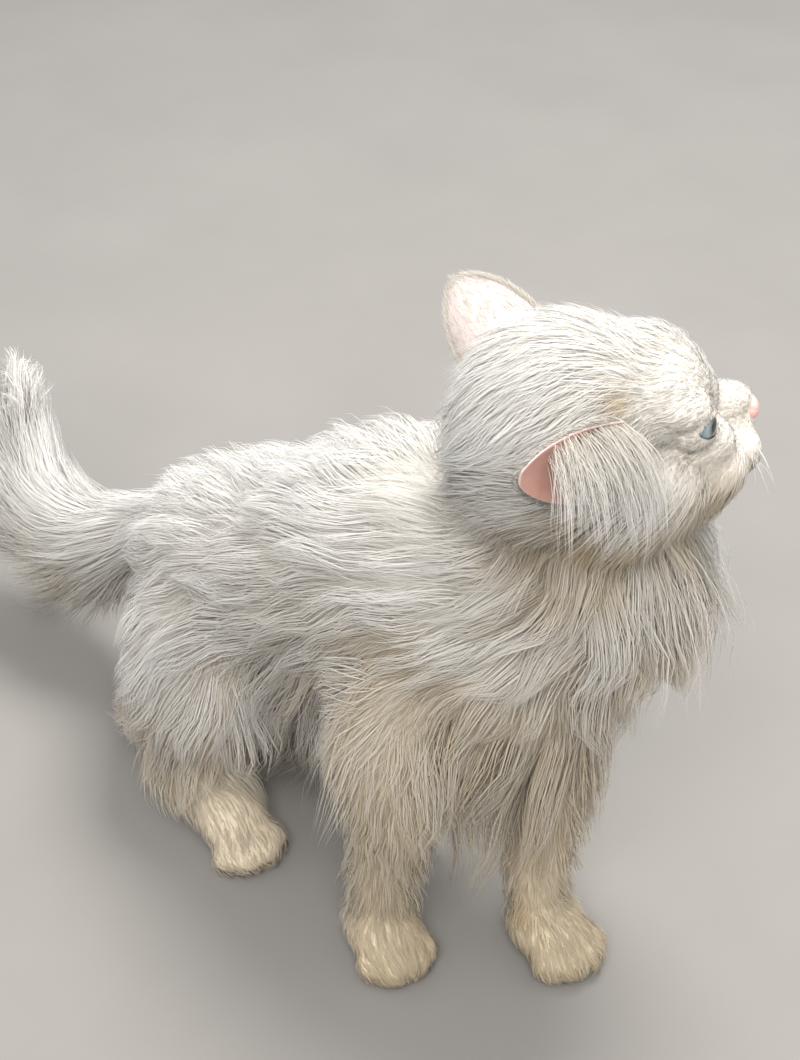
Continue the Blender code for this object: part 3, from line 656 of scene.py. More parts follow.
def head_coat(points, normals, s, turn):
    local = to_head(points)
    from_nose = local - np.array((0.078, 0.0, -0.010))
    away = np.linalg.norm(from_nose, axis=1)
    length = table(away, (0.0, 0.0022), (0.018, 0.0038), (0.035, 0.0085), (0.05, 0.0145), (0.066, 0.022),
                   (0.085, 0.031), (0.11, 0.038))
    eyes = [np.linalg.norm(local - np.array(on_side(EYE_AT, hand)), axis=1) for hand in (-1.0, 1.0)]
    beside = table(np.minimum(*eyes), (0.0110, 0.0016), (0.016, 0.0050), (0.030, 0.015), (0.045, 0.04))
    length = np.minimum(length, beside)
    depth = length * table(away, (0.0, 0.10), (0.02, 0.20), (0.035, 0.34), (0.06, 0.40), (0.12, 0.38))
    low = np.clip(-local[:, 2] / 0.05, 0.0, 1.0)
    behind = np.clip((away - 0.05) / 0.03, 0.0, 1.0)
    length = length * (1.0 + 0.55 * low * behind)
    way = unit(from_nose) + np.array((-0.35, 0.0, 0.0))
    way = from_head(way) - UP * (0.25 + 0.8 * low)[:, None]
    width = table(away, (0.0, 0.00026), (0.03, 0.00030), (0.07, 0.00038), (0.1, 0.00042))
    return length, depth, width, 0.15 + 0.5 * low, way


# For each part: its coat, tufts to a square centimetre, sections along a tuft, and pieces it is split into.
COATS = {
    "torso": (torso_coat, 16.0, 4, 3),
    "neck": (neck_coat, 32.0, 4, 2),
    "foreleg_right": (leg_coat, 20.0, 4, 1),
    "foreleg_left": (leg_coat, 20.0, 4, 1),
    "forepaw_right": (paw_coat("forepaw_right"), 42.0, 3, 1),
    "forepaw_left": (paw_coat("forepaw_left"), 42.0, 3, 1),
    "thigh_right": (thigh_coat, 17.0, 4, 1),
    "thigh_left": (thigh_coat, 17.0, 4, 1),
    "hind_foot_right": (foot_coat, 20.0, 3, 1),
    "hind_foot_left": (foot_coat, 20.0, 3, 1),
    "tail": (tail_coat, 31.0, 4, 1),
    "head": (head_coat, 47.0, 3, 3),
}
# How sharply one coat gives way to the next, and how far off a part still has a say, in its own sizes.
BLEND_SHARPNESS = 9.0
FAR_REACH = 1.9
# How deep in the skin a tuft is rooted.
ROOT_DEPTH = 0.0012
# The share of tufts that stand up a little, and are thinner.
STRAY_SHARE = 0.03
# Hair on the head grows denser where it is shorter than this.
HEAD_LENGTH = 0.012
SQUARE_CM_PER_SQUARE_M = 1e4


class Coat:
    """Grows tufts from points on the skin, over the skin and along the lie of the hair."""

    def __init__(self, skin):
        mesh = skin.data
        self.points = vectors_of(mesh, "co")
        self.normals = vectors_of(mesh, "normal")
        mesh.calc_loop_triangles()
        faces = np.empty(len(mesh.loop_triangles) * 3, dtype=np.int64)
        mesh.loop_triangles.foreach_get("vertices", faces)
        self.faces = faces.reshape(-1, 3)
        self.tree = BVHTree.FromPolygons(self.points.tolist(), self.faces.tolist())
        self.parts = Parts()

    def scatter(self, draw):
        """Roots spread over the skin, as thickly as the coat of each part asks, and their owners."""
        corners = self.points[self.faces]
        crossed = np.cross(corners[:, 1] - corners[:, 0], corners[:, 2] - corners[:, 0])
        areas = np.linalg.norm(crossed, axis=1) / 2.0
        middles = corners.mean(axis=1)
        normals = unit(self.normals[self.faces].sum(axis=1))
        found = self.parts.find(middles)
        owner = np.argmin(np.stack([found[name][0] for name in self.parts.names]), axis=0)
        density = np.array([COATS[name][1] for name in self.parts.names])[owner]
        length = self.habits(middles, normals, found)[0]
        on_head = owner == self.parts.names.index("head")
        density = density * np.where(on_head, np.clip(HEAD_LENGTH / length, 0.90, 3.0), 1.0)
        density[self.bare(middles)] = 0.0
        edges = np.cumsum(areas * density * SQUARE_CM_PER_SQUARE_M)
        count = int(edges[-1])
        picks = np.searchsorted(edges, np.arange(count) + draw.uniform(size=count))
        picks = np.minimum(picks, len(areas) - 1)
        u = np.sqrt(draw.uniform(size=(count, 1)))
        v = draw.uniform(size=(count, 1))
        weights = np.hstack((1.0 - u, u * (1.0 - v), u * v))
        roots = np.einsum("nk,nkd->nd", weights, corners[picks])
        normals = unit(np.einsum("nk,nkd->nd", weights, self.normals[self.faces[picks]]))
        return roots, normals, owner[picks]

    def nearest(self, points):
        """The nearest place on the skin to each point, and the way out there."""
        near = np.empty_like(points)
        normal = np.empty_like(points)
        find = self.tree.find_nearest
        for i, point in enumerate(points.tolist()):
            place, out, _, _ = find(point)
            near[i] = place
            normal[i] = out
        return near, normal

    def habits(self, roots, normals, found):
        """Length, depth, width, freedom and way at each root, blended where two parts meet."""
        count = len(roots)
        totals = [np.zeros(count) for _ in range(4)]
        ways = np.zeros((count, 3))
        weights = np.zeros(count)
        least = np.minimum.reduce([reach for reach, _, _ in found.values()])
        for name, (reach, s, turn) in found.items():
            share = np.exp(-BLEND_SHARPNESS * (reach - least)) * ((reach < FAR_REACH) | (reach <= least))
            length, depth, width, free, way = COATS[name][0](roots, normals, s, turn)
            for total, value in zip(totals, (length, depth, width, free)):
                total += share * value
            ways += share[:, None] * unit(way)
            weights += share
        return [total / weights for total in totals] + [unit(ways)]

    def march(self, roots, normals, length, depth, free, sections):
        """Points along each tuft from root to tip, and the way out from the skin at each."""
        path = [roots - normals * ROOT_DEPTH]
        outs = [normals]
        here = roots
        normal = normals
        step = (length / sections)[:, None]
        sway = (0.30 * ripple(roots, 0.055, 20) + 0.16 * ripple(roots, 0.020, 21))[:, None]
        for k in range(1, sections + 1):
            part = k / sections
            way = self.habits(here, normal, self.parts.find(here))[4]
            inward = dots(way, normal)
            way = way - normal * np.where(inward < 0.0, inward, inward * (1.0 - free[:, None]))
            rise = depth[:, None] / length[:, None] * max(1.7 * (1.0 - part), 0.0)
            way = unit(way)
            here = here + unit(way + normal * rise + np.cross(normal, way) * sway) * step
            near, normal_here = self.nearest(here)
            height = dots(here - near, normal_here)
            least = (depth * min(1.0, 1.35 * part) ** 0.8 * 0.85)[:, None]
            most = least * 1.25 + free[:, None] * length[:, None] * part
            here = near + normal_here * np.clip(height, least, np.maximum(most, least))
            follow = (0.6 - 0.35 * free)[:, None]
            normal = unit(normal * (1.0 - follow) + normal_here * follow)
            path.append(here)
            outs.append(normal)
        path = np.stack(path, axis=1)
        inner = path[:, 1:-1] * 0.5 + (path[:, :-2] + path[:, 2:]) * 0.25
        path[:, 1:-1] = inner
        return path, np.stack(outs, axis=1)

    def grow(self, seed):
        """Grows the whole coat, part by part."""
        draw = np.random.default_rng(seed)
        roots, normals, owner = self.scatter(draw)
        found = self.parts.find(roots)
        habits = self.habits(roots, normals, found)
        for index, name in enumerate(self.parts.names):
            mine = owner == index
            length, depth, width, free, _ = (values[mine] for values in habits)
            s, turn = found[name][1][mine], found[name][2][mine]
            self.grow_part(name, roots[mine], normals[mine], length, depth, width, free, s, turn, draw)

    def lifted(self, points, least):
        """The points, moved out where they come nearer to the skin than this."""
        near, normal = self.nearest(points)
        height = dots(points - near, normal)
        return points + normal * np.maximum(least - height, 0.0)

    def bare(self, roots):
        """Places with no hair: the lips' edge, the eyes' rims and under the nose leather."""
        local = to_head(roots)
        bare = np.zeros(len(roots), dtype=bool)
        for hand in (-1.0, 1.0):
            look = np.array(Matrix.Rotation(math.radians(hand * EYE_LOOK_OUT), 3, "Z"))
            seen = (local - np.array(on_side(EYE_AT, hand))) @ look
            opening = np.hypot(seen[:, 1] / (EYE_HALF_WIDE + 0.0010), seen[:, 2] / (EYE_RISE + 0.0010))
            bare |= (opening < 1.0) & (seen[:, 0] > 0.0) & (np.linalg.norm(seen, axis=1) < 0.018)
        bare |= np.linalg.norm((local - np.array(NOSE_AT)) / np.array((0.0065, 0.0078, 0.0066)), axis=1) < 1.0
        bare |= lip_edge(roots, LIP_BARE) > 0.3
        return bare | (roots[:, 2] < HAIR_FLOOR)

    def grow_part(self, name, roots, normals, length, depth, width, free, s, turn, draw):
        """The tufts of one part: uneven lengths, waves, then clumps whose edges sink and carry painted shade.
        """
        _, _, sections, pieces = COATS[name]
        count = len(roots)
        size = np.median(length)
        on_tail = name == "tail"
        full = 0.8 * fullness(roots) + 0.35 * ripple(roots, 0.028, 12)
        longer = 1.0 + 0.10 * ripple(roots, size * 0.6, 8) + 0.14 * full
        deeper = 1.0 + 0.15 * ripple(roots, size * 0.5, 10) + 0.42 * full
        length = length * draw.uniform(0.78, 1.12, count) * longer
        depth = depth * draw.uniform(0.60, 1.08, count) * deeper
        stray = draw.uniform(size=count) < STRAY_SHARE
        depth = np.where(stray, depth * 1.2, depth)
        width = np.where(stray, width * 0.6, width)
        path, outs = self.march(roots, normals, length, depth, free, sections)
        path = wavy(path, outs, length * (0.4 if on_tail else 1.0))
        bunch = np.clip(1.0 - normals[:, 2], 0.0, 1.0)
        gather = size * (0.14 if on_tail else 0.22)
        pull = 0.40 if on_tail else 0.54 + 0.26 * bunch
        path, lean = clumped(path, roots, gather, np.broadcast_to(pull, count), stray, draw)
        path, _ = clumped(path, roots, size * 0.08, np.full(count, 0.30), stray, draw)
        edge = np.minimum(np.linalg.norm(lean, axis=1), 1.0)
        part = np.linspace(0.0, 1.0, sections + 1)[None, :, None]
        path = path - outs * ((edge**2 * depth * (0.20 + 0.45 * bunch))[:, None, None] * part)
        outs = unit(outs + LOCK_ROUND * lean[:, None])
        path[..., 2] = np.maximum(path[..., 2], HAIR_FLOOR)
        under = hollow(roots, normals)
        # Stains, partly painted shade, taken at each point along a tuft.
        stain_and_shade_along = stain(path.reshape(-1, 3)).reshape(count, -1)
        # Painted shade over the warm undercoat, stronger at the edges of each lock and where the skin faces
        # sideways and down.
        undercoat_and_shade_tint = np.clip(under * (0.55 + 1.0 * edge**2) + 0.30 * bunch * edge**3, 0.0, 1.0)
        tint = np.stack((stain_and_shade_along, np.broadcast_to(undercoat_and_shade_tint[:, None], stain_and_shade_along.shape)), axis=2)
        order = np.argsort(s, kind="stable")
        for index, chosen in enumerate(np.array_split(order, pieces)):
            title = "coat_" + name + (f"_{index + 1}" if pieces > 1 else "")
            unwrap = np.stack((turn[chosen] / math.tau + 0.5, s[chosen]), axis=1)
            tuft_piece(title, path[chosen], outs[chosen], width[chosen], unwrap, tint[chosen], draw)


def wavy(path, outs, length):
    """Waves sideways that neighbouring tufts share."""
    roots = path[:, 0]
    ways = unit(path[:, -1] - roots)
    side = unit(np.cross(outs[:, 0], ways))
    phase = ripple(roots, 0.05, 3) * math.pi * 1.5
    amount = length * 0.062 * (1.0 + 0.5 * ripple(roots, 0.04, 4))
    sections = path.shape[1] - 1
    for k in range(1, sections + 1):
        part = k / sections
        swing = np.sin(math.tau * 1.15 * part + phase) - np.sin(phase)
        path[:, k] += side * (amount * swing * part)[:, None]
        path[:, k] += side * (length * 0.10 * ripple(roots, 0.03, 5) * part**2)[:, None]
    return path


def clumped(path, roots, size, pull, stray, draw):
    """Draws each clump together at its tip; also says which way each tuft stands off its middle."""
    count = len(roots)
    order = draw.permutation(count)
    tree = KDTree(count)
    for i, root in enumerate(roots.tolist()):
        tree.insert(root, i)
    tree.balance()
    middle = np.full(count, -1)
    for i in order.tolist():
        if middle[i] >= 0:
            continue
        for _, other, _ in tree.find_range(roots[i], size):
            if middle[other] < 0:
                middle[other] = i
    lead = path[middle]
    offset = (roots - roots[middle])[:, None, :]
    part = np.linspace(0.0, 1.0, path.shape[1])[None, :, None]
    weight = np.where(stray, 0.2, pull)[:, None, None] * part**1.5
    return path * (1.0 - weight) + (lead + offset * (1.0 - 0.85 * part)) * weight, offset[:, 0] / size


def fullness(points):
    """From -1 in the hollows of the coat to 1 where its big locks swell."""
    return np.clip(ripple(points, 0.062, 9), -1.0, 1.0)


def blob(points, centre, radii):
    """A soft patch, from 1 in its middle to 0 well outside."""
    return np.exp(-(((points - np.array(centre)) / np.array(radii))**2).sum(axis=1))


def hollow(points, normals):
    """Painted shade over a warm undercoat: between the big locks, on surfaces that face sideways and down,
    under the head, on the shoulders and low on the forelegs and feet; and a duller, warmer tone on the face,
    strongest at the nose.
    """
    local = to_head(points)
    shade_and_undercoat = np.clip(0.48 - 0.85 * fullness(points), 0.0, 1.0)
    # Darker on surfaces that face sideways and down, away from the light above: painted shade, less of it
    # towards the rump.
    shade_and_undercoat = shade_and_undercoat * np.clip(0.80 - normals[:, 2], 0.0, 1.0) * table(points[:, 0], (-0.06, 0.30), (0.04, 1.0))
    # Painted shade under the head, across the top of the ruff.
    shade_under_head = blob(points, (0.20, 0.02, 0.285), (0.06, 0.06, 0.022))
    shade_and_undercoat = np.maximum(shade_and_undercoat, 0.55 * shade_under_head)
    # A duller, warmer tone on the face, strongest at the nose.
    from_nose = np.linalg.norm(local - np.array((0.07, 0.0, -0.01)), axis=1)
    face = table(from_nose, (0.0, 0.40), (0.05, 0.27), (0.09, 0.18), (0.13, 0.0))
    # Darker and warmer low on the forelegs and on the feet: painted shade, with some dirt.
    legs = table(points[:, 2], (0.0, 0.70), (0.12, 0.75), (0.18, 0.45), (0.23, 0.0))
    legs = legs * table(points[:, 0], (0.10, 0.0), (0.15, 1.0))
    feet = table(points[:, 2], (0.0, 0.70), (0.05, 0.60), (0.10, 0.0))
    # Painted shade on each shoulder, under the ruff.
    flank = np.stack((points[:, 0], np.abs(points[:, 1]), points[:, 2]), axis=1)
    shoulder_shade = blob(flank, (0.19, 0.05, 0.195), (0.035, 0.03, 0.045))
    shade_and_undercoat = np.maximum(shade_and_undercoat * table(from_nose, (0.035, 0.0), (0.065, 1.0)), face)
    return np.maximum(np.maximum(shade_and_undercoat, 0.7 * shoulder_shade), np.maximum(legs, feet))


def stain(points):
    """How far the coat is stained or thin at each point, and where it carries painted shade, for the skin and
    the coat alike.
    """
    total = np.zeros(len(points))
    for centre, radius, amount in STAINS_AND_SHADE:
        gap = np.linalg.norm(points - np.array(centre), axis=1) / radius
        total = np.maximum(total, amount * np.exp(-1.5 * gap**2))
    # Darker and warmer low on the forelegs and on all the feet: some dirt, partly painted shade.
    legs = table(points[:, 2], (0.0, 0.66), (0.04, 0.50), (0.17, 0.32), (0.22, 0.0))
    feet = table(points[:, 2], (0.0, 0.50), (0.05, 0.32), (0.09, 0.0))
    return np.maximum(total, np.maximum(legs * table(points[:, 0], (0.10, 0.0), (0.16, 1.0)), feet))


# Where the white coat is stained cream or brown, and where it carries painted shade under the jaw, low on the
# chest and on the forelegs: centre, radius and strength.
STAINS_AND_SHADE = (
    ((0.268, 0.024, 0.224), 0.030, 0.62),
    ((0.270, 0.045, 0.240), 0.024, 0.45),
    ((0.260, 0.014, 0.196), 0.026, 0.40),
    # Under the jaw and on the throat: a yellow-brown stain, partly painted shade under the head.
    ((0.270, 0.042, 0.292), 0.030, 0.85),
    ((0.276, 0.014, 0.292), 0.024, 0.85),
    ((0.264, 0.062, 0.296), 0.020, 0.95),
    ((0.262, -0.002, 0.290), 0.020, 0.65),
    ((0.215, -0.022, 0.281), 0.022, 0.65),
    ((0.238, -0.014, 0.291), 0.020, 0.85),
    ((0.236, -0.022, 0.314), 0.014, 0.90),
    ((0.228, -0.018, 0.260), 0.020, 0.55),
    ((0.250, -0.007, 0.269), 0.016, 0.60),
    # Stains on the inside of the left foreleg and on the right forepaw, and two small spots on the head.
    ((0.214, -0.013, 0.030), 0.022, 0.80),
    ((0.210, -0.012, 0.060), 0.022, 0.55),
    ((0.173, -0.066, 0.020), 0.018, 0.35),
    ((0.257, 0.070, 0.303), 0.008, 0.35),
    ((0.247, 0.000, 0.372), 0.009, 1.00),
    # Low on the chest and on the forelegs: painted shade, with some dirt.
    ((0.215, -0.012, 0.140), 0.040, 0.30),
    ((0.155, -0.055, 0.130), 0.050, 0.30),
    ((0.160, -0.055, 0.060), 0.045, 0.35),
    ((0.210, 0.015, 0.090), 0.045, 0.30),
)


# How far a tuft is shaded like the lock that it lies in, and not like a rod on its own.
SOFT_SHADE = 0.68
# How round the locks are shaded.
LOCK_ROUND = 0.9
# The side of a tuft's own patch, on an unwrap of the skin's shape from 0 to 1.
PATCH = 0.003


def tuft_faces(sections):
    """The triangles of one tuft: a foot, three sides and a point, three vertices to a section."""
    faces = [(0, 1, 2)]
    for k in range(sections - 1):
        a, b = 3 * k, 3 * k + 3
        for i in range(3):
            j = (i + 1) % 3
            faces.append((a + j, a + i, b + i))
            faces.append((a + j, b + i, b + j))
    last, tip = 3 * (sections - 1), 3 * sections
    return np.array(faces + [(last + 1, last, tip), (last + 2, last + 1, tip), (last, last + 2, tip)])


def tuft_piece(title, path, outs, width, unwrap, tint, draw, soft=SOFT_SHADE):
    """One mesh of closed three-sided tufts, with its patches on the unwrap of the skin."""
    count, stops, _ = path.shape
    sections = stops - 1
    cover = outs
    ways = np.empty_like(path)
    ways[:, 1:-1] = path[:, 2:] - path[:, :-2]
    ways[:, 0] = path[:, 1] - path[:, 0]
    ways[:, -1] = path[:, -1] - path[:, -2]
    side = unit(np.cross(outs, unit(ways)))
    roll = draw.uniform(-0.5, 0.5, (count, 1, 1))
    out = unit(np.cross(unit(ways), side))
    side, out = side * np.cos(roll) + out * np.sin(roll), out * np.cos(roll) - side * np.sin(roll)
    part = np.linspace(0.0, 1.0, stops)
    half = table(part, (0.0, 0.75), (0.3, 1.0), (0.65, 0.72), (1.0, 0.0))[None, :, None]
    half = half * (width * draw.uniform(0.75, 1.25, count))[:, None, None] / 2.0
    verts = np.empty((count, sections * 3 + 1, 3))
    body = path[:, :sections]
    verts[:, 0:-1:3] = body - side[:, :sections] * half[:, :sections]
    verts[:, 1:-1:3] = body + out[:, :sections] * half[:, :sections] * 0.9
    verts[:, 2:-1:3] = body + side[:, :sections] * half[:, :sections]
    verts[:, -1] = path[:, -1]
    normals = np.empty_like(verts)
    lying = cover[:, :sections] * soft
    normals[:, 0:-1:3] = lying - side[:, :sections] * (1.0 - soft)
    normals[:, 1:-1:3] = lying + out[:, :sections] * (1.0 - soft)
    normals[:, 2:-1:3] = lying + side[:, :sections] * (1.0 - soft)
    normals[:, -1] = cover[:, -1] * soft + out[:, -1] * (1.0 - soft)
    per = verts.shape[1]
    corners = (tuft_faces(sections)[None] + np.arange(count)[:, None, None] * per).reshape(-1)
    mesh = bpy.data.meshes.new(title)
    mesh.vertices.add(count * per)
    mesh.vertices.foreach_set("co", verts.reshape(-1))
    mesh.loops.add(len(corners))
    mesh.loops.foreach_set("vertex_index", corners)
    mesh.polygons.add(len(corners) // 3)
    mesh.polygons.foreach_set("loop_start", np.arange(0, len(corners), 3))
    mesh.update(calc_edges=True)
    mesh.shade_smooth()
    row = np.repeat(np.append(np.repeat(part[:sections], 3), 1.0)[None], count, axis=0)
    across = np.repeat(np.append(np.tile((0.0, 0.5, 1.0), sections), 0.5)[None], count, axis=0)
    corner = unwrap[:, None, :] * (1.0 - PATCH)
    uv = corner + np.stack((across, row), axis=2) * PATCH
    layer = mesh.uv_layers.new(name="OFBake")
    layer.data.foreach_set("uv", uv.reshape(-1, 2)[corners].reshape(-1))
    tint = np.concatenate((np.repeat(tint[:, :sections], 3, axis=1), tint[:, -1:]), axis=1)
    keep_numbers(mesh, "rise", row)
    # Stains, and painted shade over the warm undercoat, along each tuft.
    keep_numbers(mesh, "stain", tint[..., 0])
    keep_numbers(mesh, "hollow", tint[..., 1])
    keep_numbers(mesh, "strand", np.repeat(draw.uniform(size=(count, 1)), per, axis=1))
    keep_vectors(mesh, "custom_normal", unit(normals))
    made = new_object(title, mesh=mesh)
    made.data.materials.append(FINISH["coat"])
    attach(made, "root")
    return made


# Finishes

class Field:
    """An output of a shader node. Sums on it add Math nodes."""

    def __init__(self, tree, socket):
        self.tree = tree
        self.socket = socket

    def add(self, kind, settings, values, output=0):
        return add_node(self.tree, kind, settings, values, output)

    def math(self, operation, *values):
        return add_node(self.tree, "ShaderNodeMath", {"operation": operation}, dict(enumerate(values)))

    def __add__(self, other):
        return self.math("ADD", self, other)

    def __radd__(self, other):
        return self.math("ADD", other, self)

    def __sub__(self, other):
        return self.math("SUBTRACT", self, other)

    def __rsub__(self, other):
        return self.math("SUBTRACT", other, self)

    def __mul__(self, other):
        return self.math("MULTIPLY", self, other)

    def __rmul__(self, other):
        return self.math("MULTIPLY", other, self)

    def __pow__(self, other):
        return self.math("POWER", self, other)


def add_node(tree, kind, settings, values, output=0):
    """A node of this kind, its settings set first, then its sockets' values or links."""
    node = tree.nodes.new(kind)
    for name, value in settings.items():
        if name == "stops":
            while len(node.color_ramp.elements) < len(value):
                node.color_ramp.elements.new(0.5)
            for element, (place, colour) in zip(node.color_ramp.elements, value):
                element.position = place
                element.color = (*colour, 1.0)
        else:
            setattr(node, name, value)
    for name, value in values.items():
        socket = node.inputs[name]
        if isinstance(value, Field):
            tree.links.new(value.socket, socket)
        else:
            socket.default_value = value
    return Field(tree, node.outputs[output])


class Finish:
    """A material whose Principled shader takes plain values or fields."""

    def __init__(self, name):
        self.material = bpy.data.materials.new(name)
        self.material.use_nodes = True
        self.tree = self.material.node_tree
        self.shader = self.tree.nodes["Principled BSDF"]

    def add(self, kind, settings=None, values=None, output=0):
        return add_node(self.tree, kind, settings or {}, values or {}, output)

    def attribute(self, name):
        return self.add("ShaderNodeAttribute", {"attribute_name": name}, {}, "Fac")

    def noise(self, scale, detail=3.0, where=None):
        values = {"Scale": scale, "Detail": detail}
        if where:
            values["Vector"] = where
        return self.add("ShaderNodeTexNoise", {}, values, 0)

    def place(self):
        return self.add("ShaderNodeTexCoord", {}, {}, "Object")

    def mix(self, factor, one, other):
        values = {0: factor, 6: colour(one), 7: colour(other)}
        return self.add("ShaderNodeMix", {"data_type": "RGBA"}, values, 2)

    def bump(self, height, strength, distance):
        return self.add("ShaderNodeBump", {}, {"Height": height, "Strength": strength, "Distance": distance})

    def set(self, **values):
        for name, value in values.items():
            socket = self.shader.inputs[name.replace("_", " ")]
            if isinstance(value, Field):
                self.tree.links.new(value.socket, socket)
            else:
                socket.default_value = value
        return self.material


def colour(value):
    return value if isinstance(value, Field) else (*value, 1.0)


# How much of the light goes through a tuft.
LIGHT_THROUGH = 0.35


def coat_finish():
    """White hair, a little darker at the root and from tuft to tuft, with painted shade over the warm
    undercoat, and its stains, some of them painted shade too.
    """
    finish = Finish("coat")
    rise = finish.attribute("rise")
    strand = finish.attribute("strand")
    body = finish.mix(rise ** 0.6, (0.86, 0.81, 0.73), (0.95, 0.94, 0.915))
    body = finish.mix(strand * 0.25, body, (0.90, 0.87, 0.81))
    # Painted shade over the warm undercoat: this beige between the locks, low down and under the head.
    body = finish.mix(finish.attribute("hollow"), body, (0.64, 0.54, 0.40))
    # Stains, in places painted shade under the jaw and on the forelegs.
    body = finish.mix(finish.attribute("stain"), body, (0.60, 0.45, 0.24))
    finish.set(Base_Color=body, Roughness=0.62, Sheen_Weight=0.3, Sheen_Roughness=0.4)
    finish.shader.inputs["Specular IOR Level"].default_value = 0.3
    through = finish.add("ShaderNodeBsdfTranslucent", {}, {"Color": (0.93, 0.91, 0.87, 1.0)})
    front = Field(finish.tree, finish.shader.outputs[0])
    both = finish.add("ShaderNodeMixShader", {}, {0: LIGHT_THROUGH, 1: front, 2: through})
    finish.tree.links.new(both.socket, finish.tree.nodes["Material Output"].inputs["Surface"])
    return finish.material


def skin_finish():
    finish = Finish("skin")
    patches = finish.noise(60.0, 4.0, finish.place())
    body = finish.mix(patches, (0.84, 0.79, 0.72), (0.87, 0.80, 0.74))
    # Painted shade over the warm undercoat, then stains that are in places painted shade, as on the coat.
    body = finish.mix(finish.attribute("hollow"), body, (0.60, 0.54, 0.44))
    body = finish.mix(finish.attribute("stain"), body, (0.60, 0.45, 0.24))
    body = finish.mix(finish.attribute("lips"), body, (0.36, 0.22, 0.19))
    body = finish.mix(finish.attribute("rim"), body, (0.06, 0.04, 0.035))
    fine = finish.noise(1800.0, 2.0, finish.place())
    return finish.set(Base_Color=body, Roughness=0.6, Normal=finish.bump(fine, 0.5, 0.0005))


def ear_finish():
    finish = Finish("ear_skin")
    place = finish.place()
    body = finish.mix(finish.noise(90.0, 4.0, place), (0.42, 0.21, 0.17), (0.56, 0.32, 0.26))
    # Painted shade deep in the cup of the ear.
    body = finish.mix(finish.attribute("deep"), body, (0.25, 0.17, 0.14))
    hairs = finish.noise(1400.0, 3.0, place)
    back = finish.mix(hairs, (0.50, 0.41, 0.39), (0.64, 0.55, 0.53))
    body = finish.mix(finish.attribute("back"), body, back)
    return finish.set(Base_Color=body, Roughness=0.55, Normal=finish.bump(hairs, 0.35, 0.0004))


def leather_finish():
    finish = Finish("nose_leather")
    place = finish.place()
    pebbles = finish.add("ShaderNodeTexVoronoi", {}, {"Vector": place, "Scale": 2200.0}, 0)
    body = finish.mix(finish.noise(300.0, 3.0, place), (0.60, 0.31, 0.28), (0.74, 0.44, 0.40))
    return finish.set(Base_Color=body, Roughness=0.38, Normal=finish.bump(pebbles, 0.5, 0.0002))


def eye_finish(hand):
    """Pale blue-grey iris, dark pupil, drawn from the distance to the line of sight."""
    finish = Finish("eye_right" if hand < 0 else "eye_left")
    place = finish.add("ShaderNodeAttribute", {"attribute_name": "sight"}, {}, "Vector")
    flat = finish.add("ShaderNodeVectorMath", {"operation": "MULTIPLY"}, {0: place, 1: (0.0, 1.0, 1.0)})
    out = finish.add("ShaderNodeVectorMath", {"operation": "LENGTH"}, {0: flat}, "Value")
    spokes = finish.noise(9.0, 4.0, place)
    ramp = finish.add("ShaderNodeValToRGB", {"stops": (
        (0.0, (0.004, 0.004, 0.005)), (0.37, (0.006, 0.006, 0.008)), (0.43, (0.11, 0.14, 0.14)),
        (0.58, (0.28, 0.34, 0.36)), (0.74, (0.18, 0.24, 0.27)), (0.86, (0.04, 0.04, 0.045)),
        (0.99, (0.10, 0.08, 0.08)))}, {0: out + (spokes - 0.5) * 0.06})
    return finish.set(Base_Color=ramp, Roughness=0.18, Coat_Weight=1.0, Coat_Roughness=0.02)


def floor_finish():
    finish = Finish("floor")
    body = finish.mix(finish.noise(7.0, 5.0, finish.place()), (0.205, 0.194, 0.180), (0.250, 0.236, 0.220))
    return finish.set(Base_Color=body, Roughness=0.85)


FINISH = {
    "coat": coat_finish(),
    "skin": skin_finish(),
    "ear": ear_finish(),
    "nose": leather_finish(),
}


# Eyes, nose and ears

def make_eye(name, hand):
    form = bmesh.new()
    bmesh.ops.create_uvsphere(form, u_segments=48, v_segments=32, radius=1.0)
    turn = Matrix.Rotation(math.pi / 2.0, 4, "Y")
    bmesh.ops.transform(form, matrix=turn, verts=form.verts)
    sight = [vert.co.copy() for vert in form.verts]
    for vert in form.verts:
        level = math.hypot(vert.co.y, vert.co.z)
        if vert.co.x > 0.0 and level < CORNEA_EDGE:
            vert.co.x += CORNEA * (1.0 - (level / CORNEA_EDGE) ** 2)
    glance = Matrix.Rotation(math.radians(-GLANCE), 4, "Z")
    matrix = eye_matrix(hand) @ glance @ Matrix.Diagonal((EYE_RADIUS,) * 3 + (1.0,))
    bmesh.ops.transform(form, matrix=matrix, verts=form.verts)
    made = new_object("eyeball_" + ("right" if hand < 0 else "left"), form)
    keep_vectors(made.data, "sight", [tuple(point) for point in sight])
    made.data.shade_smooth()
    made.data.materials.append(eye_finish(hand))
    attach(made, "root")
    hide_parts(name)


def make_nose():
    form = bmesh.new()
    at = Vector(NOSE_AT)
    add_mass(form, HEAD, at + Vector((0.0, 0.0, 0.0003)), (0.0042, 0.0076, 0.0046))
    add_mass(form, HEAD, at + Vector((0.0, 0.0, -0.0042)), (0.0036, 0.0034, 0.0040))
    for hand in (-1.0, 1.0):
        add_mass(form, HEAD, at + Vector((-0.0006, hand * 0.0056, -0.0012)), (0.0031, 0.0027, 0.0030))
    made = new_object("nose_pad", form)
    remeshed(made, 0.00045, 6)
    holes = []
    for hand in (-1.0, 1.0):
        form = bmesh.new()
        turn = Matrix.Rotation(hand * 0.7, 4, "X")
        place = HEAD @ Matrix.Translation(at + Vector((0.0036, hand * 0.0047, -0.0014))) @ turn
        add_mass(form, place, (0.0, 0.0, 0.0), (0.0020, 0.0014, 0.0009), 3)
        holes.append(new_object("nostril", form))
    combined(made, holes, "DIFFERENCE")
    made.data.shade_smooth()
    made.data.materials.clear()
    made.data.materials.append(FINISH["nose"])
    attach(made, "root")
    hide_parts("nose")


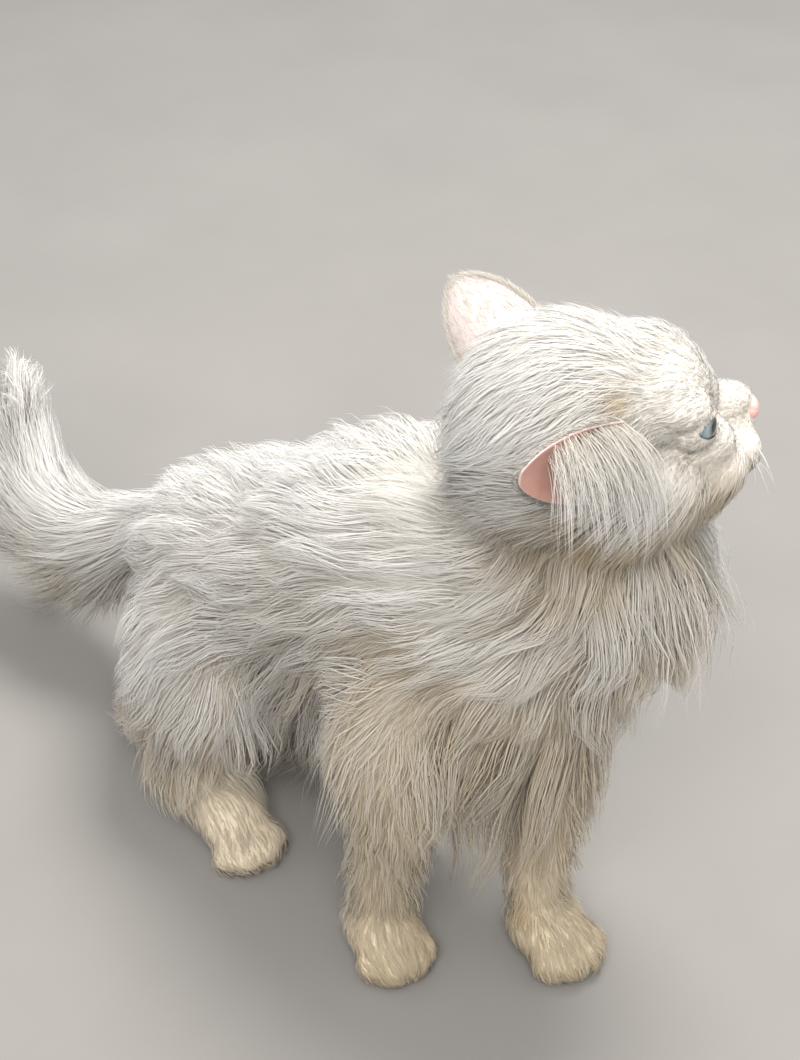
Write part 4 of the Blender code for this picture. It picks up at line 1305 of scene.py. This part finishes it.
def nearest_of(points, places):
    """For each point, which of the places is nearest, and how far it is."""
    tree = KDTree(len(places))
    for i, place in enumerate(places.tolist()):
        tree.insert(place, i)
    tree.balance()
    found = [tree.find(point)[1:] for point in points.tolist()]
    return np.array([index for index, _ in found]), np.array([gap for _, gap in found])


def make_ear(name, hand):
    """A cupped ear on a root that runs into the head."""
    front, rear, tip = (Vector(point) for point in EARS[name])
    root = (front + rear) / 2.0
    height = tip - root
    across = (front - rear) / 2.0
    across -= height * across.dot(height) / height.length_squared
    half = across.length
    across.normalize()
    behind = height.cross(across).normalized() * -hand
    rows, columns = 60, 33
    sink = 0.24

    def shell(v, u, inset):
        narrow = (1.0 - v**2.3) ** 0.68
        wide = (half - inset) * narrow + 0.0010
        spread = math.radians(80.0 - 34.0 * v)
        deep = 0.014 * (1.0 - 0.80 * v) - inset
        at = root + height * (v - sink * (1.0 - v)) + across * wide * math.sin(spread * u) / math.sin(spread)
        return HEAD @ (at + behind * (deep * math.cos(spread * u) - 0.003))

    form = bmesh.new()
    places = [-1.0 + 2.0 * k / (columns - 1) for k in range(columns)]
    heights = [0.985 * k / (rows - 1) for k in range(rows)]
    outer = [[form.verts.new(shell(v, u, 0.0)) for u in places] for v in heights]
    inner = [[form.verts.new(shell(v, u, EAR_WALL)) for u in places] for v in heights]
    for grid in (outer, inner):
        for lower, upper in zip(grid, grid[1:]):
            for k in range(1, columns):
                form.faces.new((lower[k - 1], lower[k], upper[k], upper[k - 1]))
    for k in (0, columns - 1):
        for i in range(rows - 1):
            form.faces.new((outer[i][k], outer[i + 1][k], inner[i + 1][k], inner[i][k]))
    for i in (0, rows - 1):
        for k in range(columns - 1):
            form.faces.new((outer[i][k], outer[i][k + 1], inner[i][k + 1], inner[i][k]))
    made = new_object(name.replace("ear", "ear_flap"), form)
    remeshed(made, voxel=0.0005, smoothing=16)
    made.data.shade_smooth()
    points = vectors_of(made.data, "co")
    outside = np.array([tuple(shell(v, u, 0.0)) for v in heights for u in places])
    inside = np.array([tuple(shell(v, u, EAR_WALL)) for v in heights for u in places])
    _, from_outside = nearest_of(points, outside)
    index, from_inside = nearest_of(points, inside)
    # deep: from 1 low in the cup to 0 further up, where the ear's finish paints shade.
    keep_numbers(made.data, "deep", np.clip(1.35 - index // columns / rows / 0.42, 0.0, 1.0))
    keep_numbers(made.data, "back", np.clip(1.1 + (from_inside - from_outside) / 0.0008, 0.0, 1.0))
    made.data.materials.append(FINISH["ear"])
    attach(made, "root")
    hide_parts(name)
    return shell


def ear_coat(name, shell, coat):
    """Short hair on the back and edge of an ear, and long hair that hangs out of its cup."""
    draw = np.random.default_rng(len(name))

    def places(v, u, inset):
        return np.array([tuple(shell(a, b, inset)) for a, b in zip(v.tolist(), u.tolist())])

    count = 800
    v = 0.965 * draw.uniform(size=count) ** 1.2
    edge = draw.uniform(size=count) < 0.40
    u = np.where(edge, np.sign(draw.uniform(-1.0, 1.0, count)) * draw.uniform(0.93, 1.0, count),
                 draw.uniform(-1.0, 1.0, count))
    roots = places(v, u, 0.0)
    outs = unit(roots - places(v, u, EAR_WALL))
    ways = unit(places(v + 0.02, u, 0.0) - places(np.maximum(v - 0.02, 0.0), u, 0.0))
    sides = np.cross(outs, ways)
    length = draw.uniform(0.0050, 0.0080, count) * np.where(edge, 1.25, 1.0)
    stops = 4
    path = np.empty((count, stops, 3))
    for k in range(stops):
        part = k / (stops - 1)
        rise = -0.0006 + 0.0012 * part**0.6 + np.where(edge, 0.0020 * part, 0.0)
        sway = draw.normal(0.0, 0.0009, count) * part
        path[:, k] = roots + outs * rise[:, None] + ways * (length * part)[:, None] + sides * sway[:, None]
    unwrap = np.stack((u * 0.5 + 0.5, v), axis=1)
    tint = np.zeros((count, stops, 2))
    tint[..., 1] = 0.50
    outs = np.repeat(outs[:, None], stops, axis=1)
    tuft_piece("coat_" + name, path, outs, np.full(count, EAR_HAIR), unwrap, tint, draw, soft=0.1)

    count = 480
    v = 0.70 * draw.uniform(size=count) ** 1.5
    u = draw.uniform(0.05, 1.0, count) ** 0.6
    roots = places(v, u, EAR_WALL)
    inner = unit(roots - places(v, u, 0.0))
    mouth = unit((places(v, np.ones(count), 0.0) + places(v, -np.ones(count), 0.0)) / 2.0
                 - places(v, np.zeros(count), 0.0))
    to_tip = unit(places(v + 0.02, u, 0.0) - places(v, u, 0.0))
    length = draw.uniform(0.030, 0.076, count) * (1.0 - 0.4 * v)
    fan = table(v, (0.0, -0.9), (0.3, -0.3), (0.7, 0.8))[:, None]
    way = unit(inner * 0.5 + mouth * 1.4 - UP * 0.2 + to_tip * fan + draw.normal(0.0, 0.22, (count, 3)))
    stops = 8
    here = roots - inner * 0.0006
    path = [here]
    for k in range(1, stops):
        way = unit(way - UP * (0.10 + 0.10 * k) + draw.normal(0.0, 0.10, (count, 3)))
        here = here + way * (length / (stops - 1))[:, None]
        if k > 2:
            here = coat.lifted(here, 0.007)
        path.append(here)
    path = np.stack(path, axis=1)
    path, _ = clumped(path, roots, 0.0045, 0.45, np.zeros(count, dtype=bool), draw)
    tint = np.zeros((count, stops, 2))
    # Painted shade at the roots of the long hair, deep in the cup of the ear, fading towards the tips.
    tint[..., 1] = np.linspace(0.55, 0.0, stops) * draw.uniform(0.3, 1.0, (count, 1))
    unwrap = np.stack((u * 0.5 + 0.5, v), axis=1)
    outs = np.repeat(mouth[:, None], stops, axis=1)
    tuft_piece("long_hair_" + name, path, outs, np.full(count, CUP_HAIR), unwrap, tint, draw, soft=0.3)


def whiskers():
    """Stiff white hairs on the lips and over the eyes."""
    draw = np.random.default_rng(41)
    paths = []
    for hand in (-1.0, 1.0):
        for _ in range(8):
            at = np.array((0.0755 + draw.uniform(-0.005, 0.003), hand * draw.uniform(0.013, 0.019),
                           -0.0190 + draw.uniform(-0.006, 0.005)))
            way = unit(np.array((draw.uniform(-0.25, 0.35), hand, draw.uniform(-0.35, 0.15))))
            paths.append((at, way, draw.uniform(0.020, 0.031)))
        for _ in range(4):
            at = np.array((0.040 + draw.uniform(-0.003, 0.003), hand * draw.uniform(0.016, 0.026), 0.0260))
            way = unit(np.array((draw.uniform(0.0, 0.4), hand * draw.uniform(0.1, 0.6), 1.0)))
            paths.append((at, way, draw.uniform(0.014, 0.022)))
    stops = 8
    count = len(paths)
    path = np.empty((count, stops, 3))
    for i, (at, way, length) in enumerate(paths):
        for k in range(stops):
            part = k / (stops - 1)
            bend = np.array((-0.35, 0.0, -0.45)) * length * part**2 * 0.5
            path[i, k] = from_head(at + way * (length * part - 0.004) + bend) + HEAD_ORIGIN
    outs = np.broadcast_to(UP, path.shape)
    local = to_head(path[:, 0])
    around = np.arctan2(local[:, 1], local[:, 0]) / math.tau + 0.5
    unwrap = np.stack((around, local[:, 2] / 0.2 + 0.5), axis=1)
    white = np.zeros((count, stops, 2))
    tuft_piece("whiskers", path, outs, np.full(count, WHISKER), unwrap, white, draw, soft=0.0)


# Room and camera

# Soft lamps: name, place, width, power and colour.
LAMPS = (
    ("key", (-0.05, 0.70, 2.1), 0.9, 57.0, (1.0, 0.99, 0.97)),
    ("fill", (1.2, -1.2, 2.0), 1.4, 50.0, (1.0, 0.98, 0.95)),
)
LAMP_TARGET = Vector((0.0, 0.0, 0.18))
FLOOR_HALF_WIDE = 3.0
SKY = (0.95, 0.96, 0.98, 1.0)
SKY_STRENGTH = 0.95
# The camera: how far round from the cat's right side towards its chest and how far up, in degrees,
# how far away, what it looks at, and its lens.
CAMERA_ROUND = 47.0
CAMERA_UP = 37.0
CAMERA_AWAY = 1.05
CAMERA_TARGET = (0.035, 0.0, 0.233)
SENSOR_WIDTH = 36.0
LENS = 2050.0 * SENSOR_WIDTH / 1060.0


def make_room():
    form = bmesh.new()
    bmesh.ops.create_grid(form, x_segments=1, y_segments=1, size=FLOOR_HALF_WIDE)
    floor = new_object("floor", form)
    floor.data.materials.append(floor_finish())
    world = bpy.data.worlds.new("room")
    world.use_nodes = True
    world.node_tree.nodes["Background"].inputs["Color"].default_value = SKY
    world.node_tree.nodes["Background"].inputs["Strength"].default_value = SKY_STRENGTH
    bpy.context.scene.world = world
    for name, at, size, power, tone in LAMPS:
        data = bpy.data.lights.new(name, "AREA")
        data.shape = "DISK"
        data.size = size
        data.energy = power
        data.color = tone
        lamp = bpy.data.objects.new(name, data)
        lamp.location = at
        lamp.rotation_euler = (LAMP_TARGET - Vector(at)).to_track_quat("-Z", "Y").to_euler()
        bpy.context.scene.collection.objects.link(lamp)


def make_camera():
    """Looks at the cat from its right front and from above."""
    target = Vector(CAMERA_TARGET) - Vector(OUTLINE_MIDDLE)
    turn, up = math.radians(CAMERA_ROUND), math.radians(CAMERA_UP)
    back = Vector((math.cos(up) * math.sin(turn), -math.cos(up) * math.cos(turn), math.sin(up)))
    data = bpy.data.cameras.new("camera")
    data.sensor_width = SENSOR_WIDTH
    data.lens = LENS
    camera = bpy.data.objects.new("camera", data)
    camera.location = target + back * CAMERA_AWAY
    camera.rotation_euler = back.to_track_quat("Z", "Y").to_euler()
    bpy.context.scene.collection.objects.link(camera)
    bpy.context.scene.camera = camera


bpy.context.scene.view_settings.view_transform = "Standard"
make_camera()
make_room()
skin = make_skin()
skin.data.shade_smooth()
skin.data.materials.clear()
skin.data.materials.append(FINISH["skin"])
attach(skin, "root")
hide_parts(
    "torso", "neck", "head", "foreleg_right", "foreleg_left", "forepaw_right", "forepaw_left",
    "thigh_right", "thigh_left", "hind_foot_right", "hind_foot_left", "tail_base", "tail_tip",
)
make_eye("eye_right", -1.0)
make_eye("eye_left", 1.0)
make_nose()
shells = {"ear_right": make_ear("ear_right", -1.0), "ear_left": make_ear("ear_left", 1.0)}
coat = Coat(skin)
coat.grow(7)
for name, shell in shells.items():
    ear_coat(name, shell, coat)
whiskers()
